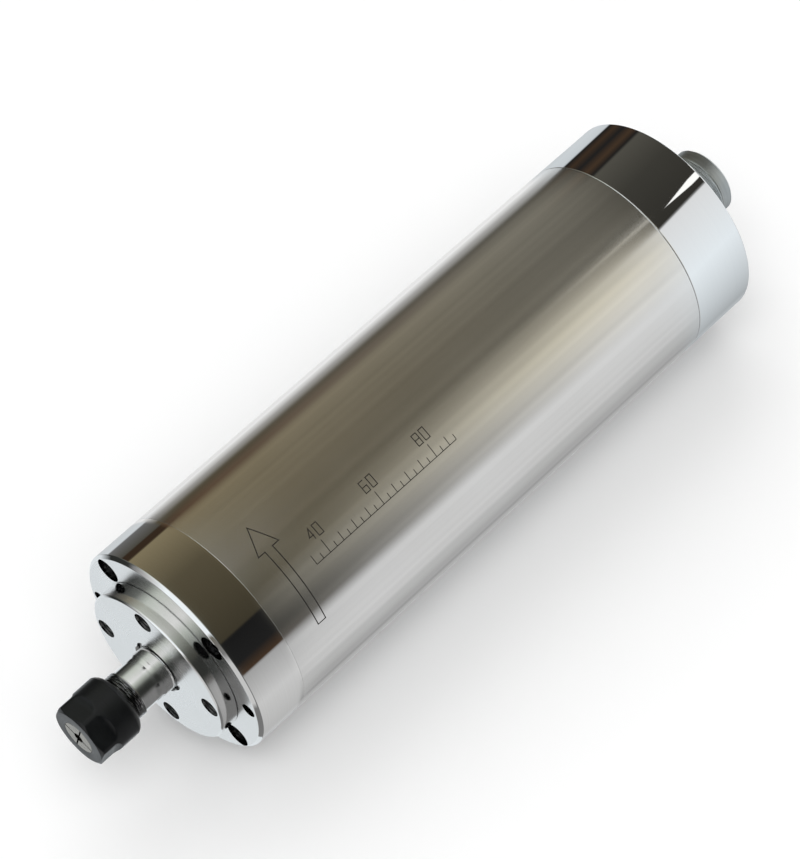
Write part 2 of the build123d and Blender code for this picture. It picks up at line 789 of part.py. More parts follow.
with BuildPart() as rotor_core:
    with BuildSketch(tail_plane(stack_front_x)):
        Circle(rotor_radius)
        Circle(rotor_seat_radius + seat_gap, mode=Mode.SUBTRACT)
        with PolarLocations(bar_circle, bar_count):
            Circle(bar_radius + seat_gap, mode=Mode.SUBTRACT)
    extrude(amount=stack_rear_x - stack_front_x)
rotor_core.part.label = "rotor_core"
export_step(rotor_core.part, "parts/rotor_core.step")

with BuildPart() as rotor_cage:
    with BuildSketch(tail_plane(stack_front_x - end_ring_length / 2)):
        with PolarLocations(bar_circle, bar_count):
            Circle(bar_radius)
    extrude(amount=stack_rear_x - stack_front_x + end_ring_length)
    for ring_x in (rotor_front_x, stack_rear_x):
        with BuildSketch(tail_plane(ring_x)):
            Circle(rotor_radius - end_ring_drop)
            Circle(rotor_seat_radius + seat_gap, mode=Mode.SUBTRACT)
        extrude(amount=end_ring_length)
rotor_cage.part.label = "rotor_cage"
export_step(rotor_cage.part, "parts/rotor_cage.step")

# The shaft steps down towards the tail, so that each piece slides on from there, apart
# from the front bearings, which the labyrinth nut clamps from the nose. Its nose has a
# short taper for the collet and a clear bore behind it for the tool's shank.
with BuildPart() as spindle_shaft:
    taper_mouth = collet_head_radius + running_gap
    taper_tail = taper_mouth - (collet_rear_x - shaft_front_x) * taper_slope
    relief_end_x = collet_rear_x + socket_relief_length
    with BuildSketch(Plane.XZ):
        with BuildLine():
            Polyline(
                (shaft_front_x, taper_mouth),
                (shaft_front_x, thread_radius),
                (neck_front_x, thread_radius),
                (neck_front_x, neck_radius),
                (journal_front_x, neck_radius),
                (journal_front_x, nose_journal_radius),
                (front_bearing_x, nose_journal_radius),
                (front_bearing_x, front_bore),
                (front_bearing_end_x, front_bore),
                (front_bearing_end_x, shaft_shoulder_radius),
                (rotor_front_x, shaft_shoulder_radius),
                (rotor_front_x, rotor_seat_radius),
                (rotor_rear_x, rotor_seat_radius),
                (rotor_rear_x, rear_neck_radius),
                (rear_bearing_x, rear_neck_radius),
                (rear_bearing_x, rear_bore),
                (shaft_rear_x, rear_bore),
                (shaft_rear_x, 0),
                (relief_end_x, 0),
                (relief_end_x - socket_relief_radius, socket_relief_radius),
                (collet_rear_x, socket_relief_radius),
                (collet_rear_x, taper_tail),
                close=True,
            )
        make_face()
    revolve(axis=Axis.X)
spindle_shaft.part.label = "spindle_shaft"
export_step(spindle_shaft.part, "parts/spindle_shaft.step")

with BuildPart() as labyrinth_nut:
    labyrinth_front_x = cover_face_x + labyrinth_recess
    disc_front_x = cover_face_x + cover_front_wall + labyrinth_gap
    disc_back_x = disc_front_x + labyrinth_disc_length
    with BuildSketch(Plane.XZ):
        with BuildLine():
            Polyline(
                (labyrinth_front_x, nose_journal_radius + seat_gap),
                (labyrinth_front_x, cover_bore_radius - labyrinth_gap),
                (disc_front_x, cover_bore_radius - labyrinth_gap),
                (disc_front_x, labyrinth_disc_radius),
                (disc_back_x, labyrinth_disc_radius),
                (disc_back_x, labyrinth_seat_radius),
                (front_bearing_x, labyrinth_seat_radius),
                (front_bearing_x, nose_journal_radius + seat_gap),
                close=True,
            )
        make_face()
    revolve(axis=Axis.X)
labyrinth_nut.part.label = "labyrinth_nut"
export_step(labyrinth_nut.part, "parts/labyrinth_nut.step")

with BuildPart() as rear_locknut:
    with BuildSketch(tail_plane(rear_bearing_x + rear_width)):
        Circle(rear_locknut_radius)
        Circle(rear_bore + seat_gap, mode=Mode.SUBTRACT)
        with PolarLocations(rear_locknut_radius, 4):
            Rectangle(2 * rear_locknut_length / 3, rear_locknut_length / 2, mode=Mode.SUBTRACT)
    extrude(amount=rear_locknut_length)
rear_locknut.part.label = "rear_locknut"
export_step(rear_locknut.part, "parts/rear_locknut.step")

# The collet: a nose cone for the nut to push on, a groove for the nut's ring to pull on,
# and a long taper for the shaft's socket, slit from both ends in turn so that it closes
# evenly on the tool.
with BuildPart() as collet:
    nose_cone_length = (collet_head_radius - collet_nose_radius) / nose_slope
    with BuildSketch(Plane.XZ):
        with BuildLine():
            Polyline(
                (collet_front_x, collet_bore_radius),
                (collet_front_x, collet_nose_radius),
                (collet_front_x + nose_cone_length, collet_head_radius),
                (collet_front_x + collet_groove_start, collet_head_radius),
                (collet_front_x + collet_groove_start, collet_groove_radius),
                (collet_front_x + collet_groove_end, collet_groove_radius),
                (collet_front_x + collet_groove_end, collet_head_radius),
                (collet_front_x + collet_head_end, collet_head_radius),
                (collet_rear_x, collet_tail_radius),
                (collet_rear_x, collet_bore_radius),
                close=True,
            )
        make_face()
    revolve(axis=Axis.X)
    for first_x, turn in (
        (collet_front_x, nut_corner_turn),
        (collet_rear_x - collet_slit_length, nut_corner_turn + 180 / collet_slit_count),
    ):
        with BuildSketch(tail_plane(first_x)):
            with PolarLocations(0, collet_slit_count, start_angle=turn):
                Rectangle(
                    2 * collet_head_radius,
                    collet_slit_width,
                    align=(Align.MIN, Align.CENTER),
                )
        extrude(amount=collet_slit_length, mode=Mode.SUBTRACT)
collet.part.label = "collet"
export_step(collet.part, "parts/collet.step")

# The collet nut: threaded on the nose, with a cone that pushes the collet in, a ring
# that draws it out, and six flats milled from the front with round run-outs.
with BuildPart() as collet_nut:
    seat_shift = running_gap / cos(radians(collet_nose_angle))
    ring_front_x = collet_front_x + collet_groove_start + nut_ring_gap
    ring_back_x = collet_front_x + collet_groove_end - nut_ring_gap
    with BuildSketch(Plane.XZ):
        with BuildLine():
            outside = Polyline(
                (nut_front_x, collet_nose_radius + seat_shift),
                (nut_front_x, nut_front_radius),
                (nut_front_x + nut_front_chamfer, nut_radius),
                (nut_rear_x - nut_rear_chamfer, nut_radius),
            )
            rear_edge = RadiusArc(outside @ 1, (nut_rear_x, nut_rear_radius), nut_rear_rounding)
            Polyline(
                rear_edge @ 1,
                (nut_rear_x, thread_radius + running_gap),
                (ring_back_x, thread_radius + running_gap),
                (ring_back_x, nut_ring_radius),
                (ring_front_x, nut_ring_radius),
                (ring_front_x, collet_head_radius + seat_shift),
                (nut_front_x + nose_cone_length, collet_head_radius + seat_shift),
                outside @ 0,
            )
        make_face()
    revolve(axis=Axis.X)
    arc_start_x = nut_front_x + nut_flat_length - nut_cutter_radius * sin(radians(nut_runout_angle))
    for side in range(nut_flat_count):
        middle_turn = nut_corner_turn + (side + 0.5) * 360 / nut_flat_count
        with BuildSketch(radial_plane(middle_turn)):
            with BuildLine():
                flat = Line((nut_front_x - 1, nut_flat_radius), (arc_start_x, nut_flat_radius))
                CenterArc(
                    (arc_start_x, nut_flat_radius + nut_cutter_radius), nut_cutter_radius, 270, 90
                )
                Line(
                    (arc_start_x + nut_cutter_radius, nut_flat_radius + nut_cutter_radius),
                    (nut_front_x - 1, nut_flat_radius + nut_cutter_radius),
                )
                Line(
                    (nut_front_x - 1, nut_flat_radius + nut_cutter_radius),
                    (nut_front_x - 1, nut_flat_radius),
                )
            make_face()
        extrude(amount=nut_radius, both=True, mode=Mode.SUBTRACT)
collet_nut.part.label = "collet_nut"
export_step(collet_nut.part, "parts/collet_nut.step")

# The connector: a threaded shell through the rear wall, held from inside by a lock nut,
# with an insulating insert and one pin for each lead.
with BuildPart() as connector_shell:
    mouth_x = barrel_length + connector_length
    insert_rear_x = mouth_x - insert_sink
    insert_front_x = insert_rear_x - insert_length
    with BuildSketch(Plane.XZ):
        with BuildLine():
            Polyline(
                (wall_inner_x - connector_tail, connector_lip_radius),
                (wall_inner_x - connector_tail, connector_neck_radius),
                (barrel_length, connector_neck_radius),
                (barrel_length, connector_radius),
                (mouth_x - connector_edge_chamfer, connector_radius),
                (mouth_x, connector_radius - connector_edge_chamfer),
                (mouth_x, connector_bore_radius),
                (insert_front_x, connector_bore_radius),
                (insert_front_x, connector_lip_radius),
                close=True,
            )
        make_face()
    revolve(axis=Axis.X)
connector_shell.part.label = "connector_shell"
export_step(connector_shell.part, "parts/connector_shell.step")

with BuildPart() as connector_locknut:
    with BuildSketch(tail_plane(wall_inner_x - locknut_length)):
        RegularPolygon(locknut_flat_radius, 6, major_radius=False)
        Circle(connector_neck_radius + seat_gap, mode=Mode.SUBTRACT)
    extrude(amount=locknut_length)
connector_locknut.part.label = "connector_locknut"
export_step(connector_locknut.part, "parts/connector_locknut.step")

with BuildPart() as connector_insert:
    with BuildSketch(tail_plane(insert_front_x)):
        Circle(connector_bore_radius - seat_gap)
        with PolarLocations(pin_circle, lead_count, start_angle=cap_screw_turn):
            Circle(pin_radius + seat_gap, mode=Mode.SUBTRACT)
    extrude(amount=insert_length)
connector_insert.part.label = "connector_insert"
export_step(connector_insert.part, "parts/connector_insert.step")

with BuildPart() as connector_pins:
    pin_front_x = insert_front_x - pin_tail
    with BuildSketch(tail_plane(pin_front_x)):
        with PolarLocations(pin_circle, lead_count, start_angle=cap_screw_turn):
            Circle(pin_radius)
    extrude(amount=pin_tail + insert_length + pin_reach)
    chamfer(connector_pins.edges().group_by(Axis.X)[-1], length=pin_radius / 3)
connector_pins.part.label = "connector_pins"
export_step(connector_pins.part, "parts/connector_pins.step")

# The leads run from the rear winding head through the bearing housing, then turn in
# behind the shaft's end to the tails of the connector's pins.
with BuildPart() as phase_leads:
    lead_front_x = bundle_front_x + bundle_length + winding_head
    for lead in range(lead_count):
        turn = cap_screw_turn + lead * 360 / lead_count
        with BuildLine(radial_plane(turn)) as route:
            FilletPolyline(
                (lead_front_x, lead_circle),
                (wiring_well_x + lead_bend_radius, lead_circle),
                (pin_front_x - lead_bend_radius, pin_circle),
                (pin_front_x, pin_circle),
                radius=lead_bend_radius,
            )
        with BuildSketch(Plane(origin=route.line @ 0, z_dir=(1, 0, 0))):
            Circle(lead_radius)
        sweep(path=route.line)
phase_leads.part.label = "phase_leads"
export_step(phase_leads.part, "parts/phase_leads.step")
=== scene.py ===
# %% [markdown]
# # A water-cooled motor spindle
# The spindle is a ground steel barrel with a bolted cap at each end. A shaft with a
# collet nut stands out of its nose, and a round connector out of its tail. This file
# dresses the CAD model of it. The axis lies along X, the nose points to -X, and
# every size here is written in millimetres and turned into metres on the way in.

import bmesh
import bpy
import numpy as np
from mathutils import Matrix, Vector


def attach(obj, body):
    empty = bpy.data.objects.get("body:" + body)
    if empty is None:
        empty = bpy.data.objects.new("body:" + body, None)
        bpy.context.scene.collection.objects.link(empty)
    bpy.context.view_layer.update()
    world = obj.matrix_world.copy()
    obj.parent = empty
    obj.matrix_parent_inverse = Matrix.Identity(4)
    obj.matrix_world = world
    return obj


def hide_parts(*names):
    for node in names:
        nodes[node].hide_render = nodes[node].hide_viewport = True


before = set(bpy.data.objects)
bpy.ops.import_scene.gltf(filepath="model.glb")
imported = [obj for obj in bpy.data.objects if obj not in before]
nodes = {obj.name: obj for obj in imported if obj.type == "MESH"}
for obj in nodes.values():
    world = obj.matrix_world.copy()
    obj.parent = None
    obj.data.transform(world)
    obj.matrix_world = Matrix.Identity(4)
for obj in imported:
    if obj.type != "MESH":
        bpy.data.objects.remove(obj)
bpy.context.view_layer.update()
MM = 0.001

# %% [markdown]
# ## A round surface from a profile
# Almost all that shows on a spindle was made on a lathe. A turned piece is a profile
# in x and radius, carried once round the axis. It could be made with the Screw
# modifier, but a grid worked out with numpy also takes a radius that changes on the
# way round, which a thread or a nut's flats need. The angle t runs from +Z towards -Y.

# %% The turned surface
def ring_faces(rows, columns, closed):
    """Quads of a grid: (i, j), (i+1, j), (i+1, j+1), (i, j+1), with j round the axis."""
    last = rows if closed else rows - 1
    i, j = np.meshgrid(np.arange(last), np.arange(columns), indexing="ij")
    down, right = (i + 1) % rows, (j + 1) % columns
    corners = (i * columns + j, down * columns + j, down * columns + right, i * columns + right)
    return np.stack(corners, -1).reshape(-1, 4)


def mesh_object(name, points, faces):
    """An object whose place is in its mesh; points in mm, faces as rows of indices."""
    mesh = bpy.data.meshes.new(name)
    mesh.from_pydata((points * MM).tolist(), [], faces.tolist())
    mesh.update()
    piece = bpy.data.objects.new(name, mesh)
    bpy.context.scene.collection.objects.link(piece)
    return piece


def all_round(values, columns):
    """A row of the grid for each value, which is the same the whole way round."""
    values = np.asarray(values, float)
    return np.broadcast_to(values[:, None], (len(values), columns))


def turned(name, x, radius, columns=384, closed=True, centre=(0.0, 0.0)):
    """Point (i, j) is (x_i, cy - r_ij sin t_j, cz + r_ij cos t_j), with t_j = 2 pi j / n."""
    t = np.linspace(0, 2 * np.pi, columns, endpoint=False)
    x, r = all_round(x, columns), np.asarray(radius, float)
    if r.ndim == 1:
        r = all_round(r, columns)
    points = np.stack((x, centre[0] - r * np.sin(t), centre[1] + r * np.cos(t)), -1)
    return mesh_object(name, points.reshape(-1, 3), ring_faces(len(x), columns, closed))


# %% [markdown]
# ## Edges that catch the light
# No turned edge is perfectly sharp: a file or a stone breaks it by about a tenth of a
# millimetre, and that narrow band is what shines. So each corner of a profile is
# cut back a little and bridged with a short curve before it is carried round.

# %% Broken corners
def broken(corners, cut=0.1, steps=4, share=0.35):
    """Corner b becomes (1-s)^2 p + 2 s (1-s) b + s^2 q, with p, q on its two sides.

    They lie cut mm from b, or share of the shorter side where that is less.
    """
    b = np.array(corners, float)
    a, c = np.roll(b, 1, 0), np.roll(b, -1, 0)
    back, ahead = a - b, c - b
    long_a, long_c = np.linalg.norm(back, axis=1), np.linalg.norm(ahead, axis=1)
    reach = np.minimum(cut, share * np.minimum(long_a, long_c))
    p = b + back * (reach / long_a)[:, None]
    q = b + ahead * (reach / long_c)[:, None]
    s = np.linspace(0, 1, steps)[None, :, None]
    curve = (1 - s) ** 2 * p[:, None] + 2 * s * (1 - s) * b[:, None] + s**2 * q[:, None]
    return curve.reshape(-1, 2)


def held(profile, near=0.12, closed=True, many=5):
    """Adds a point near mm from both ends of each straight that is over many times near.

    Shading blends a face's normal with its neighbours'. Without these points a long
    wall would look bent from end to end, because its two edges lean opposite ways.
    With them the roundness stays at the edge.
    """
    following = np.roll(profile, -1, 0) if closed else profile[1:]
    points = []
    for a, b in zip(profile, following):
        length = np.hypot(*(b - a))
        points.append(a)
        if length > many * near:
            points += [a + (b - a) * near / length, b - (b - a) * near / length]
    return np.array(points if closed else points + [profile[-1]])


def outward(profile):
    """The profile in the order that makes faces point out: its shoelace area is positive."""
    x, r = profile[:, 0], profile[:, 1]
    area = np.sum(x * np.roll(r, -1) - np.roll(x, -1) * r)
    return profile if area > 0 else profile[::-1]


def smooth(piece, angle=30.0):
    """Shades the piece round, with a sharp line wherever faces turn by more than angle."""
    piece.data.polygons.foreach_set("use_smooth", np.ones(len(piece.data.polygons), bool))
    piece.data.set_sharp_from_angle(angle=np.radians(angle))
    piece.data.update()
    return piece


# %% [markdown]
# ## Drilled holes
# The screws sit in counterbores, so the holes have to be real holes with a floor. A
# Boolean with a turned cutter does what the drill did, and it is applied at once, so
# that no modifier is left on the piece.

# %% Cutters and the drilling
def cutter(depth_radius, turn, circle, start, toward):
    """Steps (depth, radius) from a face inward; centre is circle mm out, at angle turn."""
    steps = np.array(depth_radius, float)
    x = start + toward * steps[:, 0]
    order = slice(None, None, -1) if toward > 0 else slice(None)
    at = np.radians(turn)
    return turned(
        "cutter", x[order], steps[order, 1], 96, False, (-circle * np.sin(at), circle * np.cos(at))
    )


def close_poles(piece):
    """Merges points that lie in one place, such as those on a turned piece's own axis."""
    work = bmesh.new()
    work.from_mesh(piece.data)
    bmesh.ops.remove_doubles(work, verts=work.verts, dist=1e-8)
    loose = [edge for edge in work.edges if not edge.link_faces]
    bmesh.ops.delete(work, geom=loose, context="EDGES")
    bmesh.ops.recalc_face_normals(work, faces=work.faces)
    work.to_mesh(piece.data)
    work.free()
    return piece


def drill(piece, cutters):
    """The piece less every cutter."""
    for tool in cutters:
        close_poles(tool)
        cut = piece.modifiers.new("hole", "BOOLEAN")
        cut.operation, cut.solver, cut.object = "DIFFERENCE", "EXACT", tool
        shape = piece.evaluated_get(bpy.context.evaluated_depsgraph_get())
        drilled = bpy.data.meshes.new_from_object(shape)
        piece.modifiers.clear()
        old, piece.data = piece.data, drilled
        bpy.data.meshes.remove(old)
        bpy.data.objects.remove(tool)
    print(piece.name, "drilled", len(cutters), "faces", len(piece.data.polygons))
    return piece


# %% [markdown]
# ## The barrel
# Three pieces of one diameter make the barrel: the front cap, the sleeve and the rear
# cap. Their edges are broken where they meet. That leaves a fine line round the
# barrel at the tail, and next to none at the nose, where they are broken far less.
# Each piece has its true section, so it is a closed solid as the CAD is.

# %% Sizes of the barrel
BARREL_R, BARREL_END = 32.5, 195.0
FRONT_JOINT, REAR_JOINT, SEAM, FINE_SEAM = 16.0, 173.6, 0.12, 0.012
NOSE_RIM, TAIL_RIM = 0.9, 0.3
print("barrel", BARREL_END, "mm long and", 2 * BARREL_R, "across, with joints at", FRONT_JOINT, REAR_JOINT)

# %% The sleeve and the caps
sleeve = np.array([
    (FRONT_JOINT, 31.0), (REAR_JOINT, 31.0), (REAR_JOINT, BARREL_R - SEAM),
    (REAR_JOINT - SEAM, BARREL_R), (FRONT_JOINT + FINE_SEAM, BARREL_R),
    (FRONT_JOINT, BARREL_R - FINE_SEAM),
])
front_cap = np.array([
    (0, 16.02), (0, BARREL_R - NOSE_RIM), (NOSE_RIM, BARREL_R), (FRONT_JOINT - FINE_SEAM, BARREL_R),
    (FRONT_JOINT, BARREL_R - FINE_SEAM), (FRONT_JOINT, 24.96), (29, 24.96), (29, 13.5),
    (25, 13.5), (25, 16.02),
])
rear_cap = np.array([
    (REAR_JOINT, 30.5), (REAR_JOINT, BARREL_R - SEAM), (REAR_JOINT + SEAM, BARREL_R),
    (BARREL_END - TAIL_RIM, BARREL_R), (BARREL_END, BARREL_R - TAIL_RIM), (BARREL_END, 9.52),
    (190, 9.52), (190, 14.5), (178.6, 14.5), (178.6, 30.5),
])


def turned_piece(name, corners, cut=0.1, columns=384):
    """A closed turned solid with broken corners."""
    profile = outward(held(broken(corners, cut)))
    return turned(name, profile[:, 0], profile[:, 1], columns)


barrel_sleeve = turned_piece("barrel_sleeve", sleeve, 0.04, 512)
nose_cap = turned_piece("nose_cap", front_cap, 0.08)
tail_cap = turned_piece("tail_cap", rear_cap, 0.08)
for piece in (barrel_sleeve, nose_cap, tail_cap):
    print(piece.name, "faces", len(piece.data.polygons))


# %% Steps of a hole
OUTSIDE = -1


def counterbore(head_r, head_depth, shank_r, depth):
    """Steps of a hole for a socket screw: room for its head, then for its shank.

    Every cutter starts outside the face, so that it leaves no skin over the hole.
    """
    head = [(OUTSIDE, 0), (OUTSIDE, head_r), (head_depth, head_r)]
    return head + [(head_depth, shank_r), (depth, shank_r), (depth, 0)]


def blind_hole(radius, depth, point=0.0):
    """Steps of a blind hole, with the cone that a drill's point leaves."""
    return [(OUTSIDE, 0), (OUTSIDE, radius), (depth, radius), (depth + point, 0)]


# %% Holes in the caps
QUARTERS = (0, 90, 180, 270)
CAP_CIRCLE, CAP_TURNS, CAP_HEAD_R, CAP_SHANK_R = 27.98, (45, 135, 225, 315), 3.75, 2.15
NOSE_CIRCLE, NOSE_TURNS, NOSE_HOLE_R = 28.7, (90, 270), 2.2
COVER_CIRCLE, COVER_TAP_R = 20.0, 1.52
NIPPLE_CIRCLE, NIPPLE_TURNS, NIPPLE_R = 21.0, (202.5, 247.5), 4.02
front_hole = counterbore(CAP_HEAD_R, 10, CAP_SHANK_R, 18)
rear_hole = counterbore(CAP_HEAD_R, 8, CAP_SHANK_R, 18)
nose_hole = blind_hole(NOSE_HOLE_R, 9, 1)
cover_tap = blind_hole(COVER_TAP_R, 7.7)
nipple_hole = blind_hole(NIPPLE_R, 14)
nose_cutters = [cutter(front_hole, t, CAP_CIRCLE, 0, 1) for t in CAP_TURNS]
nose_cutters += [cutter(nose_hole, t, NOSE_CIRCLE, 0, 1) for t in NOSE_TURNS]
nose_cutters += [cutter(cover_tap, t, COVER_CIRCLE, 0, 1) for t in QUARTERS]
drill(nose_cap, nose_cutters)
tail_cutters = [cutter(rear_hole, t, CAP_CIRCLE, BARREL_END, -1) for t in CAP_TURNS]
tail_cutters += [cutter(nipple_hole, t, NIPPLE_CIRCLE, BARREL_END, -1) for t in NIPPLE_TURNS]
drill(tail_cap, tail_cutters)

# %% [markdown]
# ## The bearing cover
# The raised round boss on the nose holds the front bearings in. It is a flat disc
# with four counterbored screws and a bore for the shaft. A small step at its foot
# makes the dark line between it and the cap.

# %% The cover
COVER_FACE, COVER_R, FOOT_R, COVER_HEAD_R, COVER_SHANK_R = -5.8, 24.0, 23.4, 3.0, 1.65
bearing_cover = turned_piece("bearing_cover", np.array([
    (-5.45, 8.0), (COVER_FACE, 8.35), (COVER_FACE, 23.6), (-5.4, COVER_R), (-0.2, COVER_R),
    (-0.2, FOOT_R), (0, FOOT_R), (0, 16.0), (4, 16.0), (4, 12.0), (-3.0, 12.0), (-3.0, 8.0),
]), 0.08)
cover_hole = counterbore(COVER_HEAD_R, 4, COVER_SHANK_R, 8)
drill(bearing_cover, [cutter(cover_hole, t, COVER_CIRCLE, COVER_FACE, 1) for t in QUARTERS])

# %% [markdown]
# ## The shaft and its thread
# The nose of the shaft has a bare journal, a narrower neck and a fine thread for the
# nut. The thread is a radius that rises and falls once per pitch, and moves on by
# one pitch per turn, so it winds as a real one does and fades at both ends.

# %% The thread's radius
PITCH, CREST, ROOT, FADE = 0.75, 6.9, 6.55, 0.8
THREAD_START, THREAD_END = -29.55, -16.3


def thread_radius(x, columns, crest, root, pitch, start, end):
    """r = root + (crest - root) |2 frac(x / p - t / 2 pi) - 1|, with p the pitch.

    Both ends fade to the crest over FADE of a pitch.
    """
    t = np.linspace(0, 1, columns, endpoint=False)
    wave = np.abs(2 * np.mod(x[:, None] / pitch - t[None, :], 1) - 1)
    fade = np.clip(np.minimum(x - start, end - x) / (FADE * pitch), 0, 1)[:, None]
    return crest - (crest - root) * fade * (1 - wave)


# %% The shaft
SHAFT_ROUND = 288
tail = held(broken([
    (THREAD_END, CREST), (THREAD_END, 6.5), (-9.9, 6.5), (-9.0, 6.85), (4, 6.85), (4, 7.5),
    (25, 7.5), (25, 9.4), (44, 9.4), (44, 8.5), (133.0, 8.5), (133.0, 7.8), (152.0, 7.8),
    (152.0, 6.0), (166.0, 6.0), (166.0, 3.0),
], 0.12)[2:], closed=False)
collet_seat = np.array([(7.9, 0), (4.3, 3.6), (-16.1, 3.6), (-16.1, 3.91), (THREAD_START, 5.8)])
thread_x = np.linspace(THREAD_START, THREAD_END, 150)
thread = thread_radius(thread_x, SHAFT_ROUND, CREST, ROOT, PITCH, THREAD_START, THREAD_END)
behind = np.vstack((tail[:-1], (166.0, 0)))
shaft_x = np.concatenate((collet_seat[:, 0], thread_x, behind[:, 0]))
seat_r, behind_r = all_round(collet_seat[:, 1], SHAFT_ROUND), all_round(behind[:, 1], SHAFT_ROUND)
shaft_r = np.concatenate((seat_r, thread, behind_r))
shaft = turned("shaft", shaft_x[::-1], shaft_r[::-1], SHAFT_ROUND, closed=False)
close_poles(shaft)
print("shaft faces", len(shaft.data.polygons))

# %% [markdown]
# ## The collet nut
# The nut is turned round, then six flats are milled on its front half with a
# rounded cutter, so each flat runs out upwards into the round part. Its outside is the
# lower of two surfaces, the round one and the flat one. They are blended over less
# than a tenth of a millimetre, so that the edge between them is broken.

# %% The nut's outside
NUT_FRONT, NUT_REAR, NUT_ROUND = -34.1, -19.5, 384
FLAT_R, FLAT_LENGTH, CORNER_TURN, MILL_R, RUN_OUT, BLEND = 8.5, 6.6, 24.0, 3.0, 45, 0.06
MILL_X = NUT_FRONT + FLAT_LENGTH - MILL_R * np.sin(np.radians(RUN_OUT))


def flats_radius(x, columns):
    """r = f(x) / cos(dt), with dt to the nearest flat's middle and f rising on the arc."""
    t = np.degrees(np.linspace(0, 2 * np.pi, columns, endpoint=False))
    off = np.radians(np.mod(t - CORNER_TURN, 60) - 30)
    run = np.clip(x - MILL_X, 0, MILL_R)
    lift = FLAT_R + MILL_R - np.sqrt(MILL_R**2 - run**2)
    return lift[:, None] / np.cos(off)[None, :]


def lower_of(a, b, soft):
    """-s log(exp(-a/s) + exp(-b/s)): the smaller of two, with a rounded meeting."""
    low = np.minimum(a, b)
    return low - soft * np.log(np.exp((low - a) / soft) + np.exp((low - b) / soft))


# %% The nut's round surface
# The rear edge is an arc over a chord: its hub lies off the chord's middle by
# sqrt(R^2 - h^2), with h half the chord, and r = hub_r + sqrt(R^2 - (x - hub_x)^2).
NUT_R, FRONT_R, REAR_R, BEVEL, REAR_LENGTH, REAR_ROUND = 9.5, 8.4, 7.2, 0.65, 1.9, 3.0
EDGE_X = NUT_REAR - REAR_LENGTH
rear_edge = np.array([(EDGE_X, NUT_R), (NUT_REAR, REAR_R)])
chord = rear_edge[1] - rear_edge[0]
half_chord = np.hypot(*chord) / 2
sink = np.sqrt(REAR_ROUND**2 - half_chord**2)
hub = rear_edge.mean(0) + sink * np.array([chord[1], -chord[0]]) / (2 * half_chord)
nut_x = np.concatenate((np.linspace(NUT_FRONT, EDGE_X, 150), np.linspace(EDGE_X, NUT_REAR, 24)[1:]))
nut_round = np.interp(nut_x, (NUT_FRONT, NUT_FRONT + BEVEL), (FRONT_R, NUT_R))
past = np.clip(REAR_ROUND**2 - (nut_x - hub[0]) ** 2, 0, None)
nut_round = np.where(nut_x > EDGE_X, hub[1] + np.sqrt(past), nut_round)
print("nut", round(NUT_REAR - NUT_FRONT, 2), "mm long, rear edge's hub at", hub.round(3))

# %% The nut
nut_out = lower_of(nut_round[:, None], flats_radius(nut_x, NUT_ROUND), BLEND)
bore = broken([
    (NUT_REAR, REAR_R), (NUT_REAR, 6.95), (-30.7, 6.95), (-30.7, 5.1), (-31.8, 5.1), (-31.8, 5.808),
    (-32.8, 5.808), (NUT_FRONT, 5.058), (NUT_FRONT, 8.2),
], 0.1)[4:-4]
nut_all_x = np.concatenate((nut_x, bore[:, 0]))
nut_all_r = np.concatenate((nut_out, all_round(bore[:, 1], NUT_ROUND)))
nut = turned("clamp_nut", nut_all_x[::-1], nut_all_r[::-1], NUT_ROUND)
print("nut faces", len(nut.data.polygons))

# %% [markdown]
# ## The connector
# A round shell with a coupling thread stands out of the rear cap. The same formula
# as the nose's makes the thread, coarser and on a wider shell.

# %% The connector shell
SHELL_R, SHELL_ROOT, SHELL_PITCH, SHELL_ROUND = 10.4, 10.0, 1.0, 256
RIBS_FROM, RIBS_TO = 196.5, 210.0
rib_x = np.linspace(RIBS_FROM, RIBS_TO, 150)
ribs = thread_radius(rib_x, SHELL_ROUND, SHELL_R, SHELL_ROOT, SHELL_PITCH, RIBS_FROM, RIBS_TO)
lead_in = np.array([(186.5, 7.8), (186.5, 9.5), (BARREL_END, 9.5), (BARREL_END, SHELL_R)])
mouth = np.array([(213.2, SHELL_R), (214, 9.6), (214, 8.6), (196, 8.6), (196, 7.8)])
shell_x = np.concatenate((lead_in[:, 0], rib_x, mouth[:, 0]))
lead_r, mouth_r = all_round(lead_in[:, 1], SHELL_ROUND), all_round(mouth[:, 1], SHELL_ROUND)
shell_r = np.concatenate((lead_r, ribs, mouth_r))
coupling = turned("coupling_shell", shell_x[::-1], shell_r[::-1], SHELL_ROUND)
print("connector faces", len(coupling.data.polygons))

# %% [markdown]
# ## Etched marks
# An arrow shows which way the shaft may turn. It is etched: a fine dark line that
# stands neither up nor down enough to feel. A strip is a small rectangle carried
# along a line that lies on the barrel, so it bends round with it.

# %% Strips on the barrel
STRIP_TOP, STRIP_UNDER, STRIP_STEP, SHARPEST = 32.506, 32.47, 0.8, 0.4


def unit(v):
    """Each row over its own length."""
    return v / np.linalg.norm(v, axis=1)[:, None]


